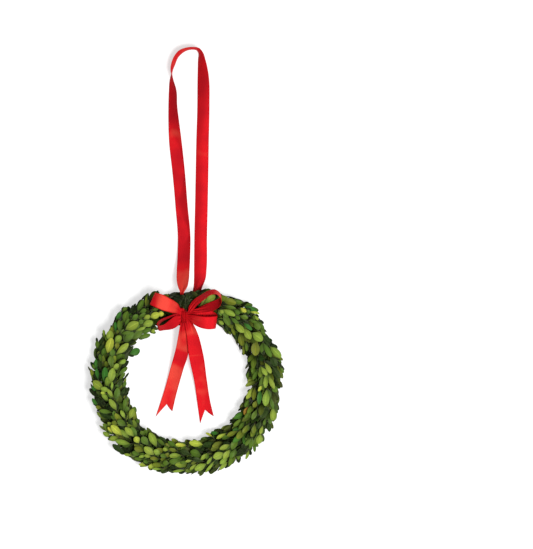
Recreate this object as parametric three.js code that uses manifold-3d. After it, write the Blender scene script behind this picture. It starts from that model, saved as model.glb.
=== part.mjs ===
// A boxwood wreath that lies face up, with its red ribbon bow and the ribbon loop that it hangs by.
// Millimetres, +Z up. The wreath lies in the XY plane and its loop points along +Y.
// Short bunches of boxwood are laid one over the next along a wire ring, and a thin wire binds
// each of them to it. Their tips all point clockwise, seen from above. The loop's ribbon is tied
// round the top of the wreath: one strand goes under it, the other over it, and the bow's knot
// closes the tie at the edge of the hole.

import * as THREE from "three";
import { mergeVertices } from "three/addons/utils/BufferGeometryUtils.js";
import Module from "manifold-3d";

const wasm = await Module();
wasm.setup();

// Driving dimensions.
const RING_RADIUS = 98; // axis of the foliage, from the wreath's centre
const AXIS_HEIGHT = 13.6; // of the foliage, above the surface that it lies on
const BUNCH_COUNT = 14;
const CORE_RADIUS = 7.5; // stems and inner leaves of a bunch, packed together
const WAIST_RADIUS = 5; // of a bunch, where the binding wire draws it in
const FRAME_WIRE_RADIUS = 1.6;
const BINDING_WIRE_RADIUS = 0.45;
const LEAF_LENGTH = 18.5;
const LEAF_WIDTH = 10.2;
const LEAF_THICKNESS = 1.1;
const RIBBON_THICKNESS = 0.6;
const GAP = 0.3; // between pieces that touch

// Proportions that follow from them.
const TURN = 2 * Math.PI;
const BUNCH_LENGTH = (TURN * RING_RADIUS) / BUNCH_COUNT;
const FRAME_DROP = CORE_RADIUS + GAP + FRAME_WIRE_RADIUS;
const WAIST_DROP = CORE_RADIUS - WAIST_RADIUS;
const degrees = THREE.MathUtils.degToRad;

// Colours of the pieces.
const FINISHES = {
  leaf: { color: 0x5f8a35, roughness: 0.55, metalness: 0 },
  paleLeaf: { color: 0x86a544, roughness: 0.55, metalness: 0 },
  darkLeaf: { color: 0x41692f, roughness: 0.55, metalness: 0 },
  steel: { color: 0x4b4f46, roughness: 0.5, metalness: 0.8 },
  greenWire: { color: 0x2f4a2c, roughness: 0.5, metalness: 0.5 },
  ribbon: { color: 0xd8161f, roughness: 0.38, metalness: 0 },
};

const wreath = new THREE.Group();
function addMesh(name, geometry, finish) {
  const mesh = new THREE.Mesh(geometry, new THREE.MeshStandardMaterial(finish));
  mesh.name = name;
  wreath.add(mesh);
}

// Solids, from closed meshes and back.
function meshGeometry(points, faces) {
  const geometry = new THREE.BufferGeometry();
  const coordinates = points.flatMap((p) => [p.x, p.y, p.z]);
  geometry.setAttribute("position", new THREE.Float32BufferAttribute(coordinates, 3));
  geometry.setIndex(faces.flat());
  return geometry;
}

function solidOf(geometry) {
  const bare = geometry.clone();
  bare.deleteAttribute("normal");
  bare.deleteAttribute("uv");
  const merged = mergeVertices(bare, 1e-4);
  const vertProperties = merged.attributes.position.array;
  const triVerts = new Uint32Array(merged.index.array);
  return new wasm.Manifold(new wasm.Mesh({ numProp: 3, vertProperties, triVerts }));
}

function geometryOf(solid) {
  const mesh = solid.getMesh();
  const geometry = new THREE.BufferGeometry();
  geometry.setAttribute("position", new THREE.BufferAttribute(mesh.vertProperties, 3));
  geometry.setIndex(new THREE.BufferAttribute(mesh.triVerts, 1));
  return geometry;
}

// One body of several that cross. Scraps and sealed hollows are left out.
const SMALLEST_EDGE = 0.03;
function joined(solids) {
  const bodies = wasm.Manifold.union(solids).simplify(SMALLEST_EDGE).decompose();
  return bodies.reduce((a, b) => (a.volume() > b.volume() ? a : b));
}

// A closed body through sections of points, capped at both ends, or joined end to start.
// Seen from its start, each section's points run counter-clockwise.
function sweep(sections, closed = false) {
  const sides = sections[0].length;
  const last = (sections.length - 1) * sides;
  const faces = [];
  for (let here = 0; here <= last; here += sides) {
    if (here === last && !closed) break;
    const next = here === last ? 0 : here + sides;
    for (let i = 0; i < sides; i += 1) {
      const j = (i + 1) % sides;
      faces.push([here + i, next + i, next + j], [here + i, next + j, here + j]);
    }
  }
  for (let i = 1; i < sides - 1 && !closed; i += 1) {
    faces.push([0, i, i + 1], [last, last + i + 1, last + i]);
  }
  return meshGeometry(sections.flat(), faces);
}

// Ribbon: a strip between two edges, given as [x, y, z] of one and of the other, in mm from the
// wreath's centre. The pairs are chosen by hand, where the ribbon bends, twists or is gathered.
function ribbonGeometry(pairs) {
  const edges = pairs.map((p) => [new THREE.Vector3(...p[0]), new THREE.Vector3(...p[1])]);
  const middles = edges.map(([a, b]) => a.clone().add(b).multiplyScalar(0.5));
  const sections = edges.map(([a, b], i) => {
    const before = middles[Math.max(i - 1, 0)];
    const after = middles[Math.min(i + 1, middles.length - 1)];
    const forward = after.clone().sub(before);
    const across = b.clone().sub(a);
    const half = across.cross(forward).setLength(RIBBON_THICKNESS / 2);
    return [a.clone().add(half), a.clone().sub(half), b.clone().sub(half), b.clone().add(half)];
  });
  return sweep(sections);
}

// The hanging loop. It starts under the bow's knot, goes down inside the hole, under the wreath
// and up the right-hand strand, stands on its edge round the top, and comes back over the wreath,
// where it is gathered between the leaves.
const FLOOR = RIBBON_THICKNESS / 2;
const HANGER_ROUTE = [
  [[-4.2, 79, 29.5], [-0.2, 79, 29.5]],
  [[-5, 77.8, 20], [1, 77.8, 20]],
  [[-6, 77.3, 10], [4, 77.3, 10]],
  [[-5.8, 78.3, 3], [7.2, 77.8, 3]],
  [[-4, 82.5, FLOOR], [10, 81, FLOOR]],
  [[0, 92, FLOOR], [14.5, 88, FLOOR]],
  [[5, 104, FLOOR], [20, 99.5, FLOOR]],
  [[8.2, 116, FLOOR], [24, 113.5, FLOOR]],
  [[9, 135, FLOOR], [24.8, 135, FLOOR]],
  [[9.4, 176, FLOOR], [25.3, 176, FLOOR]],
  [[10.3, 217, FLOOR], [26.2, 217, FLOOR]],
  [[11.1, 258, FLOOR], [27, 258, FLOOR]],
  [[11.9, 300, FLOOR], [27.6, 300, FLOOR]],
  [[13.2, 342, FLOOR], [28.4, 342, 5]],
  [[13.6, 383, FLOOR], [27, 383, 9]],
  [[14, 400, FLOOR], [24.4, 400, 12.4]],
  [[14.8, 408, FLOOR], [21.5, 409.5, 14.8]],
  [[12.9, 412.4, FLOOR], [16.6, 415.4, 15.9]],
  [[8.4, 414, FLOOR], [7.1, 416.6, 16.1]],
  [[1.5, 413.2, FLOOR], [-2.2, 415, 15.9]],
  [[-6, 408.9, FLOOR], [-10, 411.5, 15.6]],
  [[-11.4, 403, FLOOR], [-16.1, 404.2, 15.6]],
  [[-14.8, 394.4, FLOOR], [-19.4, 395.2, 15.6]],
  [[-18.8, 385.4, FLOOR], [-19.8, 385.8, 16.3]],
  [[-21.4, 374, FLOOR], [-16.3, 374, 15.4]],
  [[-22.3, 362, FLOOR], [-12.8, 362, 13.2]],
  [[-23.1, 342, FLOOR], [-11.6, 342, 11.4]],
  [[-23.1, 321, FLOOR], [-9.1, 321, 8]],
  [[-22.3, 300, FLOOR], [-6.6, 300, 3]],
  [[-17.9, 258, FLOOR], [-2.1, 258, 0.8]],
  [[-14.1, 217, 0.6], [1.2, 217, 4.4]],
  [[-11.2, 176, 1.2], [4.7, 176, 1.6]],
  [[-11.5, 156, 5], [4.4, 156, 5]],
  [[-12, 135, 13], [3.9, 135, 12.4]],
  [[-11.4, 125, 18.4], [3.4, 125, 18]],
  [[-10, 118.5, 22.2], [2, 118.5, 22.2]],
  [[-8.6, 112, 25.6], [-2, 112, 25.6]],
  [[-6.8, 105, 27.2], [-3.8, 105, 27.6]],
  [[-6.3, 97, 24.6], [-3.1, 97, 24.6]],
  [[-5.7, 89, 26.4], [-2.2, 89, 26.4]],
  [[-4.9, 83, 29.2], [-0.9, 83, 29.2]],
];

// The bow. Its loops and tails start in the waist that the knot gathers.
const KNOT_CENTRE = new THREE.Vector3(-2.3, 79.8, 33.5);
const WAIST = { length: 10, across: 6.5, up: 3.2 };

const UPPER_LEFT_LOOP = [
  [[-5.5, 84, 33.5], [-5.5, 80.5, 32]],
  [[-15, 95, 36.5], [-18, 84, 35]],
  [[-28, 104.5, 38.5], [-34, 90.5, 37.5]],
  [[-36.5, 108.3, 39.8], [-43.2, 94, 38.8]],
  [[-38.8, 109.3, 42.5], [-45.6, 94.9, 41.5]],
  [[-37.5, 108.8, 46], [-44.2, 94.2, 45]],
  [[-29.8, 107.9, 49], [-36, 91.5, 48]],
  [[-21, 102.9, 48], [-27, 87.6, 47]],
  [[-13.5, 96.6, 43.5], [-18.5, 85.4, 43.5]],
  [[-8.6, 90, 38.5], [-10.8, 83.8, 39]],
  [[-5.5, 83, 34.5], [-5.5, 80, 34.8]],
];

const LOWER_RIGHT_LOOP = [
  [[1, 81.5, 33.2], [1, 77.5, 32.2]],
  [[12, 86, 35.3], [9, 74, 33.2]],
  [[24, 87.8, 35.8], [22, 72.6, 32.7]],
  [[33.4, 86, 35.6], [32, 70.2, 33]],
  [[38.8, 81.5, 38.5], [36.8, 65.8, 36]],
  [[38, 79.5, 43], [36, 64, 41]],
  [[30, 78.2, 47], [28, 62.6, 44.5]],
  [[18, 78.6, 46.5], [17, 65, 44]],
  [[8.5, 80.6, 41], [8, 71.3, 39.5]],
  [[1, 82, 35.2], [1, 77.5, 34.6]],
];

const UPPER_RIGHT_LOOP = [
  [[1, 84.4, 33.3], [1, 81.6, 34.4]],
  [[4.2, 92.5, 35], [8.4, 87.3, 40]],
  [[9.6, 100.1, 36.5], [14.6, 94.1, 46]],
  [[18.8, 106.6, 37], [24.6, 101.9, 50.5]],
  [[28, 112, 37.5], [32.1, 106.6, 51.5]],
  [[34.5, 113.6, 38], [37.8, 107, 52]],
  [[39.4, 111.5, 38.5], [41.5, 104, 52]],
  [[42.6, 108.2, 38.5], [44, 99.6, 51.5]],
  [[43.6, 104.5, 38], [42.1, 93.1, 49.5]],
  [[39, 101, 37.5], [37.8, 89.4, 48]],
  [[30, 97.5, 37.2], [32.8, 86.6, 47]],
  [[20, 92.8, 37], [21, 84.6, 44.8]],
  [[10.6, 88.8, 35.8], [9.5, 84, 40]],
  [[1, 83.6, 34.2], [1, 81.4, 36]],
];

const LOWER_LEFT_LOOP = [
  [[-5.5, 78.4, 31.8], [-5.5, 81.6, 34]],
  [[-15.4, 78.5, 32], [-13, 82.9, 38.6]],
  [[-22.6, 76.3, 31.4], [-22.6, 79.9, 43]],
  [[-29.1, 73.5, 30.8], [-29.8, 76.9, 45]],
  [[-33.5, 68.8, 30.8], [-34.6, 73.2, 45.4]],
  [[-35.4, 64.5, 31], [-36, 69.8, 45]],
  [[-33.8, 62, 31], [-32.8, 68.4, 44.5]],
  [[-27.3, 62.5, 31], [-27.3, 68.6, 44]],
  [[-17.9, 64.4, 31], [-20.4, 72, 43]],
  [[-11.4, 67.4, 31], [-14.6, 75.6, 40]],
  [[-7.6, 71.6, 31.2], [-9.6, 78, 37]],
  [[-5.5, 76.6, 31.8], [-5.5, 80.2, 34.6]],
];

// Each tail leaves the waist underneath and comes down to the surface in the hole. Its end is cut
// to a notch between its two corners.
const LEFT_TAIL = [
  [[-6, 76.5, 31.6], [-1, 76.5, 31.6]],
  [[-7.5, 68.5, 27], [-1, 68.5, 27]],
  [[-10.3, 53.5, 21.5], [1.6, 51.4, 21]],
  [[-13.5, 39, 15.5], [2, 35.4, 15]],
  [[-20, 16, 7.5], [-4.4, 12.3, 7]],
  [[-28.5, -14, 2.4], [-12.9, -17.7, 2.2]],
  [[-39.1, -46.5, FLOOR], [-18.5, -39.5, FLOOR]],
];
const LEFT_NOTCH = [-24.8, -30.8];
const RIGHT_TAIL = [
  [[-2, 76.5, 32], [3, 76.5, 32]],
  [[0.2, 69.7, 29], [7.5, 71.5, 29]],
  [[1.8, 56, 24], [13.5, 59.7, 24.5]],
  [[4.7, 32, 16.5], [20.2, 33.8, 16.5]],
  [[9.5, -2.8, 6.5], [25.3, -0.4, 6.5]],
  [[13, -27, 2.2], [28.9, -24.6, 2.2]],
  [[17, -53.4, FLOOR], [33.8, -45.8, FLOOR]],
];
const RIGHT_NOTCH = [24.5, -39];

// A wedge that leaves a notch between the two corners at the end of a tail. It takes a little off
// each corner, too.
const CORNER_CUT = 0.5;
function notchGeometry(tail, notch) {
  const [left, right] = tail.at(-1);
  const below = ([x, y]) => [
    x + 0.5 * (x - notch[0]),
    y + CORNER_CUT + 0.5 * (y + CORNER_CUT - notch[1]),
  ];
  const outline = [notch, below(left), below(right)].map((p) => new THREE.Vector2(...p));
  const wedge = new THREE.ExtrudeGeometry(new THREE.Shape(outline), { depth: 20, bevelEnabled: false });
  return wedge.translate(0, 0, -10);
}

function tailSolid(tail, notch) {
  return solidOf(ribbonGeometry(tail)).subtract(solidOf(notchGeometry(tail, notch)));
}

function bowSolid() {
  const waist = new THREE.CylinderGeometry(1, 1, WAIST.length, 10)
    .rotateZ(Math.PI / 2)
    .scale(1, WAIST.across, WAIST.up)
    .translate(...KNOT_CENTRE);
  const loops = [UPPER_LEFT_LOOP, LOWER_RIGHT_LOOP, UPPER_RIGHT_LOOP, LOWER_LEFT_LOOP];
  return joined([
    solidOf(waist),
    ...loops.map((loop) => solidOf(ribbonGeometry(loop))),
    tailSolid(LEFT_TAIL, LEFT_NOTCH),
    tailSolid(RIGHT_TAIL, RIGHT_NOTCH),
  ]);
}

// The knot: a narrow band over the waist, open underneath, where the tails come out.
const KNOT = { width: 5, thickness: 1.2, opening: degrees(22) };
function knotGeometry() {
  const inner = { across: WAIST.across + GAP, up: WAIST.up + GAP };
  const outer = { across: inner.across + KNOT.thickness, up: inner.up + KNOT.thickness };
  const ends = [-KNOT.opening, Math.PI + KNOT.opening];
  const band = new THREE.Shape();
  band.absellipse(0, 0, outer.across, outer.up, ends[0], ends[1], false);
  band.absellipse(0, 0, inner.across, inner.up, ends[1], ends[0], true);
  return new THREE.ExtrudeGeometry(band, { depth: KNOT.width, bevelEnabled: false, curveSegments: 9 })
    .translate(0, 0, -KNOT.width / 2)
    .rotateX(Math.PI / 2)
    .rotateZ(Math.PI / 2)
    .translate(...KNOT_CENTRE);
}

// Directions at a place along the ring, which is an arc length clockwise from the top.
function ringAxes(arc) {
  const angle = arc / RING_RADIUS;
  return {
    out: new THREE.Vector3(Math.sin(angle), Math.cos(angle), 0),
    along: new THREE.Vector3(Math.cos(angle), -Math.sin(angle), 0),
  };
}

// A point by its arc length, then out from the foliage's axis and up from it.
function ringPoint(arc, out, up) {
  return ringAxes(arc)
    .out.multiplyScalar(RING_RADIUS + out)
    .setZ(AXIS_HEIGHT + up);
}

// The wire ring that carries the bunches.
function frameGeometry() {
  const segments = 3 * BUNCH_COUNT;
  return new THREE.TorusGeometry(RING_RADIUS, FRAME_WIRE_RADIUS, 6, segments).translate(
    0,
    0,
    AXIS_HEIGHT - FRAME_DROP,
  );
}

// The binding wire, in one piece. At each bunch it takes one turn round the waist and the ring's
// wire, and between them it runs along the inside of the ring's wire.
const WAIST_TURN = { drop: WAIST_DROP, radius: 6.4, angles: [210, 150, 90, 30, -30] };
const FRAME_TURN = { drop: FRAME_DROP, radius: 2.7, angles: [-30, -90, -150] };
function bindingStations() {
  const stations = [];
  for (let bunch = 0; bunch < BUNCH_COUNT; bunch += 1) {
    const start = bunch * BUNCH_LENGTH;
    const add = (arc, turn, angle) => {
      const normal = { out: Math.cos(degrees(angle)), up: Math.sin(degrees(angle)) };
      const point = ringPoint(arc, turn.radius * normal.out, turn.radius * normal.up - turn.drop);
      const outward = ringAxes(arc).out.multiplyScalar(normal.out).setZ(normal.up);
      stations.push({ point, outward });
    };
    add(start + 0.8, FRAME_TURN, -150);
    WAIST_TURN.angles.forEach((angle, i) => add(start + 1.4 + 0.5 * i, WAIST_TURN, angle));
    FRAME_TURN.angles.forEach((angle, i) => add(start + 4 + 0.4 * i, FRAME_TURN, angle));
    add(start + BUNCH_LENGTH / 2, FRAME_TURN, -150);
  }
  return stations;
}

function bindingGeometry() {
  const stations = bindingStations();
  const count = stations.length;
  const sections = stations.map(({ point, outward }, i) => {
    const before = stations[(i + count - 1) % count].point;
    const after = stations[(i + 1) % count].point;
    const forward = after.clone().sub(before).normalize();
    const left = new THREE.Vector3().crossVectors(outward, forward).normalize();
    const up = new THREE.Vector3().crossVectors(forward, left);
    return ridgePoints(point, { side: left, face: up }, BINDING_WIRE_RADIUS);
  });
  return sweep(sections, true);
}

// The three ridges of a slim stem: the upper one, then the left and the right one.
const RIDGES = [90, 210, 330].map(degrees);
function ridgePoints(centre, axes, radius) {
  return RIDGES.map((turn) =>
    centre
      .clone()
      .addScaledVector(axes.side, -radius * Math.cos(turn))
      .addScaledVector(axes.face, radius * Math.sin(turn)),
  );
}

// Repeatable random numbers, with a stream of its own for each spray.
function stream(seed) {
  let state = seed;
  const next = () => {
    state = (Math.imul(state, 1664525) + 1013904223) >>> 0;
    return state / 2 ** 32;
  };
  next();
  next();
  return (low, high) => low + (high - low) * next();
}

// A boxwood leaf is an oval blade, widest past its middle. Its outline gives the half width as a
// share of the full width, by shares of the length.
const LEAF_OUTLINE = [
  { along: 0.34, half: 0.42 },
  { along: 0.78, half: 0.43 },
];
const LEAF_MIDDLE = 0.55;

// A leaf near the surface bends to lie along it.
const LEAF_REST = 0.7;
const BEND_START = 4;
function aboveSurface(point) {
  const room = BEND_START - LEAF_REST;
  const bent = LEAF_REST + room * Math.exp(Math.min(0, point.z - BEND_START) / room);
  return point.setZ(Math.max(point.z, bent));
}

function leafPoint(leaf, along, across) {
  const cupped = leaf.cup * Math.abs(across) * leaf.width;
  const arched = leaf.arch * along * along * leaf.length;
  const point = leaf.root
    .clone()
    .addScaledVector(leaf.axes.along, along * leaf.length)
    .addScaledVector(leaf.axes.side, across * leaf.width)
    .addScaledVector(leaf.axes.face, cupped - arched);
  return aboveSurface(point);
}

// The outline from the right of the root round the tip to its left.
function leafRim(leaf) {
  const right = LEAF_OUTLINE.map((p) => leafPoint(leaf, p.along, -p.half));
  const left = LEAF_OUTLINE.map((p) => leafPoint(leaf, p.along, p.half));
  return [...right, leafPoint(leaf, 1, 0), ...left.reverse()];
}

// A spray: a three-sided twig whose leaves open out of its left and right ridges, in pairs, with
// one more at its end. The stations say how far along the twig they grow and which way they turn.
const SPRAY_ROOT = 4; // from the foliage's axis, well inside the stems
const LEAN = 24; // of a twig away from the ring
const TWIG_RADIUS = { root: 1.2, end: 0.8 };
const PETIOLE = 1.8;
const PAIRS = [
  { along: 12, turn: 52, scale: 0.94 },
  { along: 19.5, turn: 40, scale: 1 },
];
const LEAF_DRAWS = {
  turn: [-11, 11],
  lift: [2, 9],
  tilt: [8, 22],
  length: [0.84, 1.12],
  width: [0.86, 1.1],
  arch: [-0.02, 0.12],
  cup: [-0.04, 0.14],
};

function sprayAxes(spray, distance) {
  const arc = spray.arc + distance * Math.cos(spray.lean);
  const axes = ringAxes(arc);
  const outward = axes.out.multiplyScalar(Math.cos(spray.around)).setZ(Math.sin(spray.around));
  const along = axes.along
    .multiplyScalar(Math.cos(spray.lean))
    .addScaledVector(outward, Math.sin(spray.lean));
  const side = new THREE.Vector3().crossVectors(outward, along).normalize();
  return { along, side, face: new THREE.Vector3().crossVectors(along, side) };
}

function sprayPoint(spray, distance) {
  const arc = spray.arc + distance * Math.cos(spray.lean);
  const reach = SPRAY_ROOT + distance * Math.sin(spray.lean);
  return ringPoint(arc, reach * Math.cos(spray.around), reach * Math.sin(spray.around));
}

function leafOf(spray, distance, turn, scale, draw) {
  const drawn = Object.fromEntries(
    Object.entries(LEAF_DRAWS).map(([name, range]) => [name, draw(...range)]),
  );
  return {
    root: sprayPoint(spray, distance),
    base: sprayAxes(spray, distance + LEAF_LENGTH / 2),
    turn: degrees(turn + drawn.turn),
    lift: degrees(drawn.lift),
    tilt: degrees(-Math.sign(turn) * drawn.tilt),
    length: LEAF_LENGTH * scale * drawn.length,
    width: LEAF_WIDTH * scale * drawn.width,
    arch: drawn.arch,
    cup: drawn.cup,
  };
}

// The same leaf, bent up or down about its root.
function bentLeaf(leaf, bend) {
  const { along, side, face } = leaf.base;
  const lift = leaf.lift + bend;
  const level = along
    .clone()
    .multiplyScalar(Math.cos(leaf.turn))
    .addScaledVector(side, Math.sin(leaf.turn));
  const pointing = level
    .clone()
    .multiplyScalar(Math.cos(lift))
    .addScaledVector(face, Math.sin(lift));
  const upper = face
    .clone()
    .multiplyScalar(Math.cos(lift))
    .addScaledVector(level, -Math.sin(lift))
    .applyAxisAngle(pointing, leaf.tilt);
  const left = new THREE.Vector3().crossVectors(upper, pointing);
  return { ...leaf, axes: { along: pointing, side: left, face: upper } };
}

// Where a point belongs along the ring. Neighbouring bunches meet on cones that open clockwise,
// so all the leaves of a bunch have a place between its own start and the next bunch's.
const CONE_SLOPE = Math.tan(degrees(20));
const CLEARANCE = 0.9; // from a leaf's outline to the cones
function staysInBunch(leaf, start) {
  const lap = TURN * RING_RADIUS;
  return leafRim(leaf).every((point) => {
    const arc = RING_RADIUS * Math.atan2(point.x, point.y);
    const out = Math.hypot(point.x, point.y) - RING_RADIUS;
    const distance = Math.hypot(out, point.z - AXIS_HEIGHT);
    const place = arc - Math.max(0, distance - CORE_RADIUS) / CONE_SLOPE - start;
    const inside = THREE.MathUtils.euclideanModulo(place + lap / 4, lap) - lap / 4;
    return inside > CLEARANCE && inside < BUNCH_LENGTH - CLEARANCE;
  });
}

// A leaf is bent clear of the next bunches, the ribbon and the wires, or left out. Where it can be,
// it is bent clear of what its own bunch has grown as well.
const BENDS = [0, -5, 5, -10, 10, -15, 15, -20, 20, -25, 25].map(degrees);
function clearLeaf(leaf, start, obstacles, grown) {
  const choices = BENDS.map((bend) => bentLeaf(leaf, bend))
    .filter((bent) => staysInBunch(bent, start))
    .map((bent) => ({ ...bent, blade: solidOf(bladeGeometry(bent)) }))
    .filter(({ blade }) => obstacles.every((solid) => blade.minGap(solid, 2 * GAP) > GAP));
  const apart = ({ blade }) => grown.every((solid) => blade.minGap(solid, GAP) > 0);
  return choices.find(apart) ?? choices[0] ?? null;
}

// Faces of a blade between its outline and a point above and one below its middle.
function bladeFaces(rim, above, below, ridge = []) {
  const upper = [...rim, ...ridge];
  const faces = upper.map((corner, i) => [corner, upper[(i + 1) % upper.length], above]);
  rim.forEach((corner, i) => faces.push([rim[(i + 1) % rim.length], corner, below]));
  return faces;
}

function bladeMiddle(leaf) {
  const middle = leafPoint(leaf, LEAF_MIDDLE, 0);
  return [1, -1].map((way) =>
    middle.clone().addScaledVector(leaf.axes.face, (way * LEAF_THICKNESS) / 2),
  );
}

const BLADE_START = 0.1;
function bladeGeometry(leaf) {
  const rim = [leafPoint(leaf, BLADE_START, 0), ...leafRim(leaf)];
  const indices = rim.map((_, i) => i);
  return meshGeometry(
    [...rim, ...bladeMiddle(leaf)],
    bladeFaces(indices, rim.length, rim.length + 1),
  );
}

// One closed mesh: the twig's sections, with each leaf let into the ridge that it grows from.
function sprayGeometry(spray, leaves, thickness = 1) {
  const points = [];
  const faces = [];
  const add = (list) => list.map((point) => points.push(point) - 1);
  const cuts = PAIRS.flatMap((pair) => [pair.along - PETIOLE / 2, pair.along + PETIOLE / 2]);
  const sections = [0, ...cuts, spray.length].map((distance) => {
    const share = distance / spray.length;
    const radius = thickness * THREE.MathUtils.lerp(TWIG_RADIUS.root, TWIG_RADIUS.end, share);
    return add(ridgePoints(sprayPoint(spray, distance), sprayAxes(spray, distance), radius));
  });
  const quad = (a, b, c, d) => faces.push([a, b, c], [a, c, d]);
  const blade = (leaf, root, ridge) => {
    const rim = [root[0], ...add(leafRim(leaf)), root[1]];
    const [above, below] = add(bladeMiddle(leaf));
    faces.push(...bladeFaces(rim, above, below, ridge));
  };
  for (let i = 0; i + 1 < sections.length; i += 1) {
    const [top, left, right] = sections[i];
    const [nextTop, nextLeft, nextRight] = sections[i + 1];
    // Every other stretch carries a pair.
    const [leftLeaf, rightLeaf] = i % 2 === 1 ? [leaves[i - 1], leaves[i]] : [null, null];
    if (leftLeaf) blade(leftLeaf, [nextLeft, left], [top, nextTop]);
    else quad(top, nextTop, nextLeft, left);
    if (rightLeaf) blade(rightLeaf, [right, nextRight], [nextTop, top]);
    else quad(top, right, nextRight, nextTop);
    quad(left, nextLeft, nextRight, right);
  }
  const [top, left, right] = sections.at(-1);
  if (leaves.at(-1)) blade(leaves.at(-1), [right, left], [top]);
  else faces.push([top, right, left]);
  faces.push(sections[0]);
  return meshGeometry(points, faces);
}

// The sprays of a bunch stand round its axis in two rows, the later one in the gaps of the first.
const ROWS = [
  { start: 9.5, around: [-22, 52, 126, 202] },
  { start: 27, around: [14, 90, 166] },
];
const SPRAY_DRAWS = { around: [-9, 9], arc: [-1, 1], lean: [-2.5, 2.5], length: [24, 27] };

function sprayOf(start, around, seed) {
  const draw = stream(seed);
  const spray = {
    around: degrees(around + draw(...SPRAY_DRAWS.around)),
    arc: start + draw(...SPRAY_DRAWS.arc),
    lean: degrees(LEAN + draw(...SPRAY_DRAWS.lean)),
    length: draw(...SPRAY_DRAWS.length),
  };
  const leaves = PAIRS.flatMap((pair) =>
    [pair.turn, -pair.turn].map((turn) => leafOf(spray, pair.along, turn, pair.scale, draw)),
  );
  const twig = solidOf(sprayGeometry(spray, []));
  return { ...spray, twig, leaves: [...leaves, leafOf(spray, spray.length, 0, 1, draw)] };
}

// Leaves of a spray that cross each other grow in separate layers, each from a slimmer twig that
// lies inside the one before.
const LAYER_STEP = 0.12;
function spraySolid(spray, leaves) {
  const layers = [[]];
  leaves.forEach((leaf, i) => {
    if (leaf === null) return;
    const layer = layers.find((list) => list.every((j) => leaves[j].blade.minGap(leaf.blade, GAP) > 0));
    if (layer) layer.push(i);
    else layers.push([i]);
  });
  const solids = layers.map((layer, depth) => {
    const shown = leaves.map((leaf, i) => (layer.includes(i) ? leaf : null));
    return solidOf(sprayGeometry(spray, shown, 1 - LAYER_STEP * depth));
  });
  return wasm.Manifold.union(solids);
}

function bunchSolid(index, obstacles) {
  const start = index * BUNCH_LENGTH;
  const core = solidOf(coreGeometry(start));
  const sprays = ROWS.flatMap((row, r) =>
    row.around.map((around, i) => sprayOf(start + row.start, around, 100 * index + 10 * r + i + 1)),
  ).filter(({ twig }) => obstacles.every((solid) => twig.minGap(solid, 2 * GAP) > GAP));
  const blades = [];
  const solids = sprays.map((spray) => {
    const twigs = sprays.filter((other) => other !== spray).map((other) => other.twig);
    const leaves = spray.leaves.map((leaf) => {
      const clear = clearLeaf(leaf, start, obstacles, [core, ...twigs, ...blades]);
      if (clear) blades.push(clear.blade);
      return clear;
    });
    return spraySolid(spray, leaves);
  });
  return joined([core, ...solids]);
}

// Stems and inner leaves of a bunch, drawn in at its waist and down on to the ring's wire.
const CORE_SIDES = 6;
function coreGeometry(start) {
  const profile = [
    { at: GAP / 2, radius: WAIST_RADIUS },
    { at: 5.5, radius: WAIST_RADIUS },
    { at: 10, radius: CORE_RADIUS },
    { at: 27, radius: CORE_RADIUS },
    { at: BUNCH_LENGTH - GAP / 2, radius: CORE_RADIUS },
  ];
  const sections = profile.map(({ at, radius }) =>
    Array.from({ length: CORE_SIDES }, (_, i) => {
      const around = Math.PI / 2 - (i * TURN) / CORE_SIDES;
      const drop = CORE_RADIUS - radius;
      return ringPoint(start + at, radius * Math.cos(around), radius * Math.sin(around) - drop);
    }),
  );
  return sweep(sections);
}

const hanger = solidOf(ribbonGeometry(HANGER_ROUTE));
const bow = bowSolid();
const knot = solidOf(knotGeometry());
const frame = solidOf(frameGeometry());
const binding = solidOf(bindingGeometry());

const LEAF_FINISHES = [FINISHES.leaf, FINISHES.paleLeaf, FINISHES.leaf, FINISHES.darkLeaf];
const obstacles = [hanger, bow, knot, frame, binding];
for (let i = 0; i < BUNCH_COUNT; i += 1) {
  const name = `bunch_${String(i + 1).padStart(2, "0")}`;
  addMesh(name, geometryOf(bunchSolid(i, obstacles)), LEAF_FINISHES[i % LEAF_FINISHES.length]);
}
addMesh("hanger_ribbon", geometryOf(hanger), FINISHES.ribbon);
addMesh("bow", geometryOf(bow), FINISHES.ribbon);
addMesh("bow_knot", geometryOf(knot), FINISHES.ribbon);
addMesh("ring_frame", geometryOf(frame), FINISHES.steel);
addMesh("binding_wire", geometryOf(binding), FINISHES.greenWire);

// The origin is at the middle of the whole wreath's underside.
const bounds = new THREE.Box3().setFromObject(wreath);
const middle = bounds.getCenter(new THREE.Vector3());
wreath.position.set(-middle.x, -middle.y, -bounds.min.z);
wreath.updateMatrixWorld(true);

export default wreath;
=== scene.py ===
# The looks of a boxwood wreath that lies face up, with its satin bow and the ribbon loop it hangs by.
# Lengths are in mm from the wreath's centre until a mesh is made, and angles in degrees in tables.

import math

import bpy
import numpy as np
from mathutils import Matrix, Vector
from mathutils.bvhtree import BVHTree


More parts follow.
